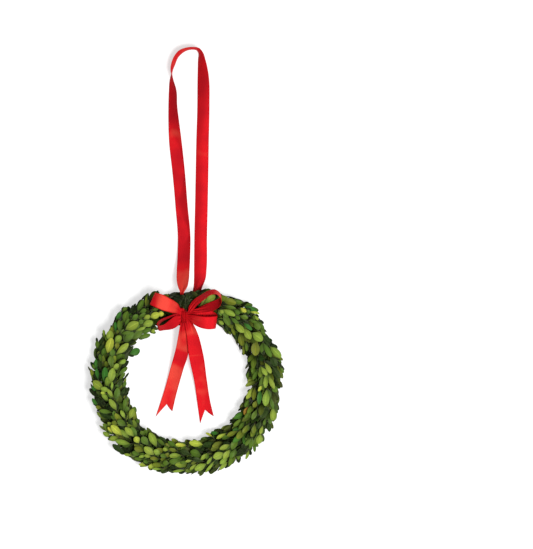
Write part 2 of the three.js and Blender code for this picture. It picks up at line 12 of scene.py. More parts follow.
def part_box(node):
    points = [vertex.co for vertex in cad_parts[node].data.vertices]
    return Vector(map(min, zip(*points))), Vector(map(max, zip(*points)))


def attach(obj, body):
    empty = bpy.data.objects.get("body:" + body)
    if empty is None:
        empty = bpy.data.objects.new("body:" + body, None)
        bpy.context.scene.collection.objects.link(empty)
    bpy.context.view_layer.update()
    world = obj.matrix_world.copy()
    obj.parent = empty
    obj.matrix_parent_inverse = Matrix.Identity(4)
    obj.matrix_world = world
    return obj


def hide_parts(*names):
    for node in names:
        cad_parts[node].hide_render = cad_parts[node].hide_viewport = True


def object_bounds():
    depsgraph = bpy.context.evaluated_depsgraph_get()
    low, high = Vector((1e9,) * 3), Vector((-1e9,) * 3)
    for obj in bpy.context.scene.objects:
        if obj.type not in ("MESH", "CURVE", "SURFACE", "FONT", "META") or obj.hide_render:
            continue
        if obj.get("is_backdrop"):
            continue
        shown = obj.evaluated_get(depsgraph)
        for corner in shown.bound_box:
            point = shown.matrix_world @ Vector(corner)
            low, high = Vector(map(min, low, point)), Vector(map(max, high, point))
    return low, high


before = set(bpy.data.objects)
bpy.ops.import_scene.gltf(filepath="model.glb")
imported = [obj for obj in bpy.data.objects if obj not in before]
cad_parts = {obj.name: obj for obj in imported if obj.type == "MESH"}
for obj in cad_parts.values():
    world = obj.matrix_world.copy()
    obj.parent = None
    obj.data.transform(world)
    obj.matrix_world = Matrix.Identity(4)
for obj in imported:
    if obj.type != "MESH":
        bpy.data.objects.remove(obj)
cad_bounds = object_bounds()

MM = 1000

# Sizes that the solids share.
RING_RADIUS = 98.0
AXIS_HEIGHT = 13.6
BUNCH_COUNT = 14
CORE_RADIUS = 7.5
WAIST_RADIUS = 5.0
FRAME_WIRE_RADIUS = 1.6
BINDING_WIRE_RADIUS = 0.45
LEAF_LENGTH = 18.5
LEAF_WIDTH = 10.2
RIBBON_WIDTH = 16.0
GAP = 0.3
BUNCH_LENGTH = 2 * math.pi * RING_RADIUS / BUNCH_COUNT
FRAME_DROP = CORE_RADIUS + GAP + FRAME_WIRE_RADIUS
WAIST_DROP = CORE_RADIUS - WAIST_RADIUS

ring_low, ring_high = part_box("ring_frame")
CENTRE = np.array([ring_low.x + ring_high.x, ring_low.y + ring_high.y, 0.0]) * MM / 2
UP = np.array([0.0, 0.0, 1.0])


def unit(vector):
    return vector / np.linalg.norm(vector)


def turned(start, towards, angle):
    """The vector at an angle from one, on the way to another that is square to it."""
    return start * math.cos(angle) + towards * math.sin(angle)


def stream(seed):
    """Repeatable random numbers: each call draws one between low and high."""
    state = seed

    def draw(low, high):
        nonlocal state
        state = (state * 1664525 + 1013904223) & 0xFFFFFFFF
        return low + (high - low) * state / 2**32

    draw(0, 1)
    draw(0, 1)
    return draw


def linear(red, green, blue):
    """A colour given in screen values from 0 to 255."""
    shares = np.array([red, green, blue]) / 255
    return np.where(shares <= 0.04045, shares / 12.92, ((shares + 0.055) / 1.055) ** 2.4)


# The photograph is taken from straight above. Its pixels are turned into places on the surface.
IMAGE = (533, 549)
MM_PER_PIXEL = 1.25
CENTRE_PIXEL = (186.8, 379.8)
CAMERA_HEIGHT = 4000.0
CAMERA_PLACE = np.array(
    [IMAGE[0] / 2 - CENTRE_PIXEL[0], CENTRE_PIXEL[1] - IMAGE[1] / 2, 0.0]
) * MM_PER_PIXEL


def seen_at(px, py, height):
    """The point at a height that the photograph shows at a pixel."""
    floor = np.array([px - CENTRE_PIXEL[0], CENTRE_PIXEL[1] - py, 0.0]) * MM_PER_PIXEL
    return CAMERA_PLACE + (floor - CAMERA_PLACE) * (1 - height / CAMERA_HEIGHT) + UP * height


def put(name, data):
    made = bpy.data.objects.new(name, data)
    bpy.context.scene.collection.objects.link(made)
    return made


# Meshes.
class Surface:
    """Points and faces gathered for one object, with what its materials read from them."""

    def __init__(self):
        self.points, self.faces, self.tints, self.marks, self.slots = [], [], [], [], []
        self.count = 0

    def add(self, points, faces, marks, tint=(0.0, 0.0, 0.0), side=1.0, slot=0):
        points = np.asarray(points, float).reshape(-1, 3)
        self.points.append(points)
        self.faces += [tuple(self.count + i for i in face) for face in faces]
        colours = np.full((len(points), 4), float(side))
        colours[:, :3] = np.reshape(tint, (-1, 3))
        self.tints.append(colours)
        self.marks.append(np.asarray(marks).reshape(-1, 3))
        self.slots += [slot] * len(faces)
        self.count += len(points)

    def piece(self, name, materials, record_slot, node):
        """Makes the object, which stands for a node of the solids."""
        mesh = bpy.data.meshes.new(name)
        points = (np.concatenate(self.points) + CENTRE) / MM
        mesh.from_pydata(points.tolist(), [], self.faces)
        tint = mesh.attributes.new("tint", "FLOAT_COLOR", "POINT")
        tint.data.foreach_set("color", np.concatenate(self.tints).ravel())
        marks = mesh.attributes.new("marks", "FLOAT_VECTOR", "POINT")
        marks.data.foreach_set("vector", np.concatenate(self.marks).ravel())
        for material in materials:
            mesh.materials.append(material)
        mesh.polygons.foreach_set("material_index", self.slots)
        mesh.shade_smooth()
        made = put(name, mesh)
        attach(made, "root")
        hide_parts(node)
        return made


def grid_faces(rows, columns, flip=False, ring=False):
    """Quads of a grid of points, whose columns close to a ring where asked."""
    faces = []
    for row in range(rows - 1):
        for column in range(columns if ring else columns - 1):
            a = row * columns + column
            b = row * columns + (column + 1) % columns
            quad = (a, b, b + columns, a + columns)
            faces.append(quad[::-1] if flip else quad)
    return faces


# A direction that no tube runs along, from which the rings of points start.
RING_START = (0.23, 0.31, 0.92)


def tube_points(path, radii, sides, closed=False):
    """Rings of points round a path."""
    ahead = np.roll(path, -1, 0) - np.roll(path, 1, 0)
    if not closed:
        ahead[0] = path[1] - path[0]
        ahead[-1] = path[-1] - path[-2]
    ahead /= np.linalg.norm(ahead, axis=1)[:, None]
    side = np.cross(RING_START, ahead)
    side /= np.linalg.norm(side, axis=1)[:, None]
    up = np.cross(ahead, side)
    angles = 2 * math.pi * np.arange(sides)[None, :, None] / sides
    radii = np.broadcast_to(radii, len(path))[:, None, None]
    return path[:, None] + radii * (side[:, None] * np.cos(angles) + up[:, None] * np.sin(angles))


def tube_faces(rings, sides, closed=False):
    faces = grid_faces(rings, sides, ring=True)
    last = (rings - 1) * sides
    if closed:
        return faces + [(last + i, last + (i + 1) % sides, (i + 1) % sides, i) for i in range(sides)]
    return faces + [tuple(range(sides))[::-1], tuple(range(last, last + sides))]


def distances(path):
    """How far along a path each of its points is."""
    return np.concatenate([[0], np.cumsum(np.linalg.norm(np.diff(path, axis=0), axis=1))])


def add_tube(surface, path, radii, sides, closed=False, **notes):
    """A round tube along a path. Its marks are the way round it, in turns, and the distance along."""
    path = np.asarray(path, float)
    turns = np.arange(sides) / sides
    marks = np.stack(np.broadcast_arrays(turns[None, :], distances(path)[:, None], 0.0), -1)
    points = tube_points(path, radii, sides, closed)
    surface.add(points, tube_faces(len(path), sides, closed), marks, **notes)


# Materials.
class Graph:
    """A material's nodes, each made and joined in one call."""

    def __init__(self, name):
        self.material = bpy.data.materials.new(name)
        self.material.use_nodes = True
        self.tree = self.material.node_tree
        self.shader = self.tree.nodes["Principled BSDF"]

    def node(self, kind, inputs=(), output=0, **settings):
        made = self.tree.nodes.new("ShaderNode" + kind)
        for key, value in settings.items():
            setattr(made, key, value)
        for key, value in dict(inputs).items():
            self.feed(made.inputs[key], value)
        return made.outputs[output]

    def feed(self, socket, value):
        if isinstance(value, bpy.types.NodeSocket):
            self.tree.links.new(value, socket)
        else:
            socket.default_value = value

    def shade(self, **values):
        for key, value in values.items():
            self.feed(self.shader.inputs[key.replace("_", " ")], value)

    def math(self, operation, a, b=0.0):
        return self.node("Math", {0: a, 1: b}, operation=operation)

    def weigh(self, *terms):
        """The sum of values, each times its weight."""
        total = None
        for value, weight in terms:
            product = self.math("MULTIPLY", value, weight)
            total = product if total is None else self.math("ADD", total, product)
        return total

    def ramp(self, value, low, high, start=0.0, end=1.0):
        inputs = {"Value": value, "From Min": low, "From Max": high, "To Min": start, "To Max": end}
        return self.node("MapRange", inputs)

    def mix(self, share, first, second, blend_type="MIX"):
        made = self.tree.nodes.new("ShaderNodeMix")
        made.data_type = "RGBA"
        made.blend_type = blend_type
        for place, value in ((0, share), (6, first), (7, second)):
            self.feed(made.inputs[place], value)
        return made.outputs[2]

    def marks(self):
        vector = self.node("Attribute", output="Vector", attribute_name="marks")
        parts = self.tree.nodes.new("ShaderNodeSeparateXYZ")
        self.feed(parts.inputs[0], vector)
        return parts.outputs

    def noise(self, scale, detail, vector=None):
        if vector is None:
            vector = self.node("TexCoord", output="Object")
        inputs = {"Scale": scale, "Detail": detail, "Vector": vector}
        return self.node("TexNoise", inputs, output="Fac")

    def bump(self, height, distance, strength):
        return self.node("Bump", {"Height": height, "Distance": distance, "Strength": strength})


def leaf_material():
    """Waxy boxwood leaf. The tint is the leaf's own; the marks are across, along in mm, and a seed."""
    g = Graph("boxwood_leaf")
    tint = g.node("Attribute", output="Color", attribute_name="tint")
    upper = g.node("Attribute", output="Alpha", attribute_name="tint")
    across, along, _ = g.marks()
    off_rib = g.math("ABSOLUTE", across)
    rib = g.ramp(off_rib, 0.03, 0.14, 1.0, 0.0)
    vein_place = g.weigh((along, 3.3), (off_rib, -7.0))
    fading = g.ramp(off_rib, 0.1, 0.9, 1.0, 0.0)
    veins = g.math("MULTIPLY", g.ramp(g.math("SINE", vein_place), 0.75, 1.0), fading)
    mottle = g.noise(420.0, 4.0)
    colour = g.mix(g.ramp(mottle, 0.35, 0.7, 0.0, 0.3), tint, (0.05, 0.10, 0.02, 1))
    pale = g.mix(1.0, tint, (1.9, 1.75, 1.9, 1), "MULTIPLY")
    colour = g.mix(g.math("MULTIPLY", rib, 0.5), colour, pale)
    colour = g.mix(g.math("MULTIPLY", veins, 0.2), colour, pale)
    colour = g.mix(g.ramp(upper, 0.0, 1.0, 0.6, 0.0), colour, pale)
    height = g.weigh((rib, -0.9), (veins, -0.35), (mottle, 0.5))
    g.shade(Base_Color=colour, Normal=g.bump(height, 0.0003, 0.7))
    g.shade(Specular_IOR_Level=0.17, Specular_Tint=(0.9, 1.0, 0.55, 1))
    g.shade(Roughness=g.ramp(mottle, 0.3, 0.7, 0.4, 0.56))
    return g.material


def twig_material():
    """Young bark, green towards the tip, with fine lengthwise ridges."""
    g = Graph("boxwood_twig")
    around, along, _ = g.marks()
    ridges = g.math("SINE", g.math("MULTIPLY", around, 44.0))
    patches = g.noise(600.0, 4.0)
    colour = g.mix(g.ramp(patches, 0.3, 0.7), (0.035, 0.04, 0.012, 1), (0.06, 0.05, 0.02, 1))
    colour = g.mix(g.ramp(along, 8.0, 26.0, 0.0, 0.6), colour, (0.06, 0.09, 0.02, 1))
    g.shade(Base_Color=colour, Roughness=0.7)
    g.shade(Normal=g.bump(g.math("ADD", ridges, patches), 0.00008, 0.8))
    return g.material


def inner_material():
    """Packed stems and leaves in the middle of a bunch, near black as painted shade."""
    g = Graph("boxwood_inner")
    patches = g.noise(300.0, 5.0)
    strands = g.noise(900.0, 2.0)
    colour = g.mix(g.ramp(patches, 0.35, 0.65), (0.006, 0.012, 0.002, 1), (0.02, 0.03, 0.006, 1))
    g.shade(Base_Color=colour, Roughness=0.85)
    g.shade(Normal=g.bump(g.math("ADD", patches, strands), 0.0012, 1.0))
    return g.material


# The satin's threads lie this far apart.
WEFT_SPACING = 0.42


def ribbon_material():
    """Red satin. The marks are across from -1 to 1, along in mm, and its painted highlight and shade there.
    """
    g = Graph("ribbon_satin")
    across, along, shine = g.marks()
    selvage = g.ramp(g.math("ABSOLUTE", across), 0.86, 0.93)
    stretched = {0: g.math("MULTIPLY", across, 9.0), 1: g.math("MULTIPLY", along, 0.06)}
    streaks = g.noise(3.0, 4.0, g.node("CombineXYZ", stretched))
    # Painted highlight and shade: the listed shine and cloudy patches darken the red where dull, orange
    # where it shines.
    shine = g.weigh((g.noise(42.0, 1.5), 0.55), (shine, 0.17))
    weft = g.math("SINE", g.math("MULTIPLY", along, 2 * math.pi / WEFT_SPACING))
    colour = g.mix(g.ramp(shine, 0.1, 0.28), (0.44, 0.008, 0.014, 1), (0.58, 0.010, 0.015, 1))
    colour = g.mix(g.ramp(shine, 0.33, 0.47, 0.0, 0.85), colour, (0.66, 0.060, 0.040, 1))
    colour = g.mix(g.math("MULTIPLY", selvage, 0.55), colour, (0.50, 0.003, 0.006, 1))
    height = g.weigh((weft, 0.25), (streaks, 0.8), (selvage, 1.6))
    g.shade(Base_Color=colour, Normal=g.bump(height, 0.00012, 0.6))
    g.shade(Roughness=g.ramp(streaks, 0.3, 0.7, 0.38, 0.5))
    g.shade(Metallic=0.15, Specular_IOR_Level=0.02, Specular_Tint=(1.0, 0.12, 0.08, 1))
    return g.material


def wire_material(name, dark, light, metallic, roughness):
    """Drawn wire, with worn and dull patches."""
    g = Graph(name)
    wear = g.noise(900.0, 5.0)
    scratches = g.noise(2500.0, 2.0)
    g.shade(Base_Color=g.mix(g.ramp(wear, 0.42, 0.62), (*dark, 1), (*light, 1)), Metallic=metallic)
    g.shade(Roughness=g.ramp(wear, 0.3, 0.7, roughness, roughness + 0.2))
    g.shade(Normal=g.bump(g.math("ADD", wear, scratches), 0.00006, 0.6))
    return g.material


FOLIAGE = [leaf_material(), twig_material(), inner_material()]
TWIG_SLOT = 1
CORE_SLOT = 2
SATIN = ribbon_material()
STEEL = wire_material("frame_steel", (0.05, 0.055, 0.045), (0.16, 0.15, 0.13), 0.85, 0.42)
LACQUER = wire_material("binding_lacquer", (0.018, 0.05, 0.016), (0.04, 0.09, 0.03), 0.3, 0.38)


# Places along the ring, by arc length clockwise from the top.
def ring_axes(arc):
    angle = arc / RING_RADIUS
    out = np.array([math.sin(angle), math.cos(angle), 0.0])
    return out, np.array([out[1], -out[0], 0.0])


def ring_point(arc, out, up):
    return ring_axes(arc)[0] * (RING_RADIUS + out) + UP * (AXIS_HEIGHT + up)


# A tree of the solids that leaves keep clear of.
def tree_of(points, faces):
    return BVHTree.FromPolygons([Vector(p) for p in points], faces)


def node_tree(*names):
    points, faces = [], []
    for name in names:
        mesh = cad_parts[name].data
        faces += [tuple(len(points) + i for i in p.vertices) for p in mesh.polygons]
        points += [np.array(v.co) * MM - CENTRE for v in mesh.vertices]
    return tree_of(points, faces)


OBSTACLES = node_tree("hanger_ribbon", "bow", "bow_knot", "ring_frame", "binding_wire")


def near_obstacles(points, distance):
    return any(OBSTACLES.find_nearest(Vector(p), distance)[0] is not None for p in points)


# A spray is a twig with leaves in pairs and one more at its end, as in the solids. The draws come in
# the same order as there, so that each leaf has the same place and size.
SPRAY_ROOT = 4.0
LEAN = 24.0
TWIG_RADIUS = (1.0, 0.6)
TWIG_SIDES = 6
TWIG_POINTS = 8
PAIRS = [(12.0, 52.0, 0.94), (19.5, 40.0, 1.0)]
LEAF_DRAWS = [(-11, 11), (2, 9), (8, 22), (0.84, 1.12), (0.86, 1.1), (-0.02, 0.12), (-0.04, 0.14)]
ROWS = [(9.5, [-22, 52, 126, 202]), (27.0, [14, 90, 166])]
SPRAY_DRAWS = [(-9, 9), (-1, 1), (-2.5, 2.5), (24, 27)]
ROLLS = (0.0, 0.8)
BENDS = [0, -5, 5, -10, 10, -15, 15, -20, 20, -25, 25]

# Smaller sprays between them, which only the looks need.
FILL_PAIRS = [(8.0, 44.0, 0.85), (15.0, 34.0, 0.92)]
FILL_ROWS = [
    (5.0, [-36, 214]),
    (17.0, [-28, 208]),
    (28.0, [-40, 220]),
    (2.0, [-4, 28, 75, 105, 152, 184]),
    (9.0, [8, 40, 90, 140, 172]),
    (16.0, [-8, 20, 60, 120, 160, 188]),
    (23.0, [5, 35, 75, 105, 145, 175]),
    (31.0, [-5, 22, 55, 90, 125, 158, 185]),
]
FILL_LEVELS = [0.8, 0.3, 0.7, 0.5]
FILL_LEAN = 23.0
FILL_DRAWS = [(-9, 9), (-3, 3), (-10, 8), (18, 25)]
FILL_SEED = 7000


def spray_axes(spray, distance):
    out, tangent = ring_axes(spray["arc"] + distance * math.cos(spray["lean"]))
    outward = turned(out, UP, spray["around"])
    along = turned(tangent, outward, spray["lean"])
    side = unit(np.cross(outward, along))
    return along, side, np.cross(along, side)


def spray_point(spray, distance):
    reach = SPRAY_ROOT + distance * math.sin(spray["lean"])
    arc = spray["arc"] + distance * math.cos(spray["lean"])
    return ring_point(arc, reach * math.cos(spray["around"]), reach * math.sin(spray["around"]))


def leaf_of(spray, distance, turn, scale, draw):
    aside, lift, tilt, length, width, arch, cup = [draw(*limits) for limits in LEAF_DRAWS]
    along, side, face = spray_axes(spray, distance + LEAF_LENGTH / 2)
    if spray["level"]:
        face = rolled(along, face, spray["level"])
        side = np.cross(face, along)
    return {
        "distance": distance,
        "root": spray_point(spray, distance),
        "base": (along, side, face),
        "turn": math.radians(turn + aside),
        "lift": math.radians(lift),
        "tilt": math.radians(-np.sign(turn) * tilt),
        "length": LEAF_LENGTH * scale * length,
        "width": LEAF_WIDTH * scale * width,
        "arch": arch,
        "cup": cup,
        "roll": 0.0,
    }


def spray_of(start, around, lean, draws, pairs, level, seed):
    draw = stream(seed)
    aside, moved, leaned, length = [draw(*limits) for limits in draws]
    spray = {
        "around": math.radians(around + aside),
        "arc": start + moved,
        "lean": math.radians(lean + leaned),
        "length": length,
        "level": level,
    }
    stations = [(along, way * turn, scale) for along, turn, scale in pairs for way in (1, -1)]
    stations.append((length, 0.0, 1.0))
    spray["leaves"] = [leaf_of(spray, *station, draw) for station in stations]
    for leaf in spray["leaves"]:
        leaf["roll"] = draw(*ROLLS)
    spray["draw"] = draw
    return spray


def twig_path(spray, length):
    return np.array([spray_point(spray, d) for d in np.linspace(0, length, TWIG_POINTS)])


# An axis that leans less than this share of its length is too upright to roll a face about.
LEAST_LEAN = 0.1


def rolled(axis, face, share):
    """The face, turned about the axis by a share of the way to facing up."""
    flat = UP - axis * axis[2]
    if np.linalg.norm(flat) < LEAST_LEAN:
        return face
    angle = share * math.atan2(np.cross(face, unit(flat)) @ axis, face @ unit(flat))
    return turned(face, np.cross(axis, face), angle)


def bent(leaf, bend):
    """The leaf with its own axes, bent up or down about its root."""
    along, side, face = leaf["base"]
    lift = leaf["lift"] + math.radians(bend)
    level = turned(along, side, leaf["turn"])
    pointing = turned(level, face, lift)
    straight = turned(face, -level, lift)
    upper = turned(straight, np.cross(pointing, straight), leaf["tilt"])
    upper = rolled(pointing, upper, leaf["roll"])
    return {**leaf, "axes": (pointing, np.cross(upper, pointing), upper)}


LEAF_REST = 0.7
BEND_START = 4.0


def above_surface(points):
    """A leaf near the surface bends to lie along it."""
    room = BEND_START - LEAF_REST
    bend = LEAF_REST + room * np.exp(np.minimum(0, points[..., 2] - BEND_START) / room)
    points[..., 2] = np.maximum(points[..., 2], bend)
    return points


def leaf_points(leaf, along, across):
    pointing, left, upper = leaf["axes"]
    along, across = np.broadcast_arrays(along, across)
    rise = leaf["cup"] * abs(across) * leaf["width"] - leaf["arch"] * along**2 * leaf["length"]
    steps = (along * leaf["length"], pointing), (across * leaf["width"], left), (rise, upper)
    return above_surface(leaf["root"] + sum(step[..., None] * axis for step, axis in steps))


# The plain blade that stands for a leaf when its place is tried.
PLAIN_ALONG = np.array([0.1, 0.34, 0.78, 1.0, 0.78, 0.34])
PLAIN_ACROSS = np.array([0.0, -0.42, -0.43, 0.0, 0.43, 0.42])
PLAIN_MIDDLE = 0.55
PLAIN_HALF_THICKNESS = 0.5


def plain_blade(leaf):
    rim = leaf_points(leaf, PLAIN_ALONG, PLAIN_ACROSS)
    middle = leaf_points(leaf, np.array(PLAIN_MIDDLE), np.array(0.0))
    thick = leaf["axes"][2] * PLAIN_HALF_THICKNESS
    count = len(rim)
    faces = [(i, (i + 1) % count, count) for i in range(count)]
    faces += [((i + 1) % count, i, count + 1) for i in range(count)]
    return np.array([*rim, middle + thick, middle - thick]), faces


class Shape:
    """A plain shape to test for crossing, with the ball that it lies in."""

    def __init__(self, points, faces):
        self.points = points
        self.tree = tree_of(points, faces)
        self.middle = points.mean(0)
        self.reach = np.linalg.norm(points - self.middle, axis=1).max()


def tube_shape(path, radius, sides):
    return Shape(tube_points(path, radius, sides).reshape(-1, 3), tube_faces(len(path), sides))


MOST_SHAPES = 6000


class Grown:
    """All that has grown so far."""

    def __init__(self):
        self.shapes = []
        self.balls = np.zeros((MOST_SHAPES, 4))

    def add(self, shape):
        self.balls[len(self.shapes)] = *shape.middle, shape.reach
        self.shapes.append(shape)

    def crosses(self, shape, apart_from=None):
        balls = self.balls[:len(self.shapes)]
        near_by = np.linalg.norm(balls[:, :3] - shape.middle, axis=1) < balls[:, 3] + shape.reach
        others = (self.shapes[i] for i in np.flatnonzero(near_by))
        return any(other is not apart_from and shape.tree.overlap(other.tree) for other in others)


GROWN = Grown()


# Neighbouring bunches meet on cones that open clockwise, so that each leaf has one bunch's place.
CONE_SLOPE = math.tan(math.radians(20))
CLEARANCE = 0.9
LAP = 2 * math.pi * RING_RADIUS


def places(points):
    """Where points belong along the ring, as an arc length from its top."""
    arc = RING_RADIUS * np.arctan2(points[..., 0], points[..., 1])
    flat = np.hypot(points[..., 0], points[..., 1]) - RING_RADIUS
    distance = np.hypot(flat, points[..., 2] - AXIS_HEIGHT)
    return arc - np.maximum(0, distance - CORE_RADIUS) / CONE_SLOPE


def stays_in_bunch(blade, start):
    rim = places(blade.points[1:len(PLAIN_ALONG)]) - start
    inside = (rim + LAP / 4) % LAP - LAP / 4
    return bool(((inside > CLEARANCE) & (inside < BUNCH_LENGTH - CLEARANCE)).all())


# How far out the photograph shows the leaf tips, as angles clockwise from the top and distances. The
# ribbon that is tied round the top holds the leaves down there.
RIM = np.array([
    (-60, 126), (-48, 119), (-40, 122), (-30, 118), (-25, 120), (-18, 121), (-12, 112), (0, 111),
    (7, 113), (12, 118), (20, 117), (30, 121), (40, 126), (52, 126), (60, 119), (70, 125), (90, 124),
    (100, 118), (110, 124), (165, 123), (180, 118), (190, 119), (200, 126),
]).T

# How near to the centre the smaller sprays and the lower leaves may reach.
HOLE = np.array([
    (-50, 68), (-40, 70), (0, 70), (20, 74), (30, 77), (70, 76), (80, 73), (110, 73), (120, 71),
    (160, 68), (170, 72), (190, 74), (220, 77), (240, 73), (270, 73), (290, 72), (300, 66),
]).T
LIMITS_START = -60


def beyond(limit, points):
    """How far out points lie past a limit."""
    x, y, _ = points.T
    clockwise = (np.degrees(np.arctan2(x, y)) - LIMITS_START) % 360 + LIMITS_START
    return np.hypot(x, y) - np.interp(clockwise, *limit)


def clear_of_obstacles(shape):
    if (beyond(RIM, shape.points) > 0).any() or shape.tree.overlap(OBSTACLES):
        return False
    return not near_obstacles(shape.points, GAP)


def placed(leaf, twig=None, start=None, bends=BENDS):
    """The leaf, bent to where it is clear. Only one with a bunch to stay in may cross another."""
    first = None
    for bend in bends:
        choice = bent(leaf, bend)
        shape = Shape(*plain_blade(choice))
        if start is not None and not stays_in_bunch(shape, start):
            continue
        if not clear_of_obstacles(shape):
            continue
        if start is None and (beyond(HOLE, shape.points) < 0).any():
            continue
        if not GROWN.crosses(shape, twig):
            return choice, shape
        if start is not None:
            first = first or (choice, shape)
    return first


# The fine leaf: a thin blade with a rounded outline, a sunken midrib and a slightly wavy edge.
ALONG_STEPS = 11
ACROSS_STEPS = 7
TIP_CROWDING = 1.6
BLADE_THICKNESS = 0.35
BLADE_ENDS = (0.03, 0.97)
BULGE_SKEW = (1.05, 1.3)
OUTLINE_POWER = 0.75
TIP_FULLNESS = (0.15, 0.3)
WAVE_HEIGHT = (0.1, 0.35)
WAVE_RATE = (5, 9)
TIP_CURL = (0.0, 1.2)
ROOT_HALF_WIDTH = 0.45
MIDRIB_DEPTH = 0.22
MIDRIB_SPREAD = 0.22
SLIMNESS = 0.74
# Painted shade: leaves darker at the root, where others overlap, at the rim, deep inside and low down, and
# under the bow.
ROOT_SHADE = 0.45
ROOT_SHADE_REACH = 0.6
RIM_SHADE = 0.3
INNER_SHADE = 0.1
INNER_FADE = 1.5
INNER_REACH = 10.5
OUTER_REACH = 23.0
LOW_SHADE = 0.22
LIT_HEIGHT = 24.0
BOW_SHADOW_PLACE = (-3.0, 95.0)
BOW_SHADOW_REACH = 27.0
BOW_SHADOW_DARKEST = 0.35


def leaf_outline(along, width, draw):
    """Half the width, in mm, at shares of the length."""
    bulge = np.sin(math.pi * along ** draw(*BULGE_SKEW))
    full = 0.5 * width * bulge ** (OUTLINE_POWER - draw(*TIP_FULLNESS) * along)
    return np.maximum(full, ROOT_HALF_WIDTH * (1 - along) ** 4)


def add_leaf(surface, leaf, tint, draw, slimness=1.0):
    along = 1 - (1 - np.linspace(0, 1, ALONG_STEPS)[:, None]) ** TIP_CROWDING
    across = np.linspace(-1, 1, ACROSS_STEPS)[None, :]
    half = leaf_outline(along, leaf["width"] * slimness, draw)
    points = leaf_points(leaf, along, across * half / leaf["width"])
    upper = leaf["axes"][2]
    height = draw(*WAVE_HEIGHT)
    wave = height * np.sin(along * draw(*WAVE_RATE) + draw(0, 6) + across) * across**2
    groove = MIDRIB_DEPTH * np.exp(-((across / MIDRIB_SPREAD) ** 2)) * np.sin(math.pi * along) ** 0.5
    curl = draw(*TIP_CURL) * along**5
    points = points + (wave - groove - curl)[..., None] * upper
    ends = np.sin(math.pi * np.clip(along, *BLADE_ENDS)) ** 0.5
    thick = BLADE_THICKNESS * (1 - across**2) * ends
    under = points - thick[..., None] * upper
    parts = np.broadcast_arrays(across, along * leaf["length"], draw(0, 1))
    marks = np.stack(parts, -1)
    # Painted shade: the leaf is darker at its root, where others overlap it, and at its rim, between leaves.
    from_root = np.sin(math.pi / 2 * np.clip(along / ROOT_SHADE_REACH, 0, 1))
    root_shade = ROOT_SHADE + (1 - ROOT_SHADE) * from_root
    rim_shade = 1 - RIM_SHADE * across**4
    shades = tint * (inner_shade(points) * root_shade * rim_shade)[..., None]
    surface.add(points, grid_faces(ALONG_STEPS, ACROSS_STEPS, flip=True), marks, shades, 1.0)
    surface.add(under, grid_faces(ALONG_STEPS, ACROSS_STEPS), marks, shades, 0.0)


def inner_shade(points):
    """Painted shade: leaves darker deep in the foliage and low down, and a painted shadow under the bow."""
    out = np.hypot(points[..., 0], points[..., 1]) - RING_RADIUS
    reach = np.hypot(out, points[..., 2] - AXIS_HEIGHT)
    outer = np.clip((reach - INNER_REACH) / (OUTER_REACH - INNER_REACH), INNER_SHADE, 1) ** INNER_FADE
    from_bow_shadow = np.hypot(points[..., 0] - BOW_SHADOW_PLACE[0], points[..., 1] - BOW_SHADOW_PLACE[1])
    bow_shadow = np.clip(from_bow_shadow / BOW_SHADOW_REACH, BOW_SHADOW_DARKEST, 1)
    return outer * bow_shadow * np.clip(points[..., 2] / LIT_HEIGHT, LOW_SHADE, 1)


# Colours of leaves, in screen values.
# The "shade" tint is painted shade; "deep" is partly a darker green and partly painted shade.
TINTS = {
    "shade": linear(12, 22, 8),
    "deep": linear(34, 54, 16),
    "mid": linear(78, 106, 30),
    "light": linear(128, 150, 52),
    "yellow": linear(172, 184, 64),
    "blue": linear(50, 108, 36),
    "olive": linear(108, 118, 30),
    "brown": linear(150, 112, 36),
}
FIRST_PAIR_DARKNESS = 0.35
YOUNGEST = 0.35
USUAL_SPREAD = 0.16
SEEN_SPREAD = 0.08
REDNESS = (0.9, 1.1)
USUAL_TINTS = ["mid", "deep", "mid", "shade", "olive", "deep", "light", "blue", "deep", "mid", "shade"]


def jitter(tint, draw, spread):
    return np.clip(tint * draw(1 - spread, 1 + spread) * [draw(*REDNESS), 1, 1], 0, 1)


def spray_tints(spray, count):
    """A spray's leaves share a tint, darker in its first pair and lighter at its end."""
    draw = spray["draw"]
    own = TINTS[USUAL_TINTS[int(draw(0, len(USUAL_TINTS)))]]
    shades = []
    for i in range(count):
        age = 1 - i / (count - 1)
        dark = FIRST_PAIR_DARKNESS * age
        shade = own * (1 - dark) + dark * TINTS["deep"]
        young = draw(0, YOUNGEST) * (1 - age)
        shades.append(jitter(shade * (1 - young) + TINTS["yellow"] * young, draw, USUAL_SPREAD))
    return shades


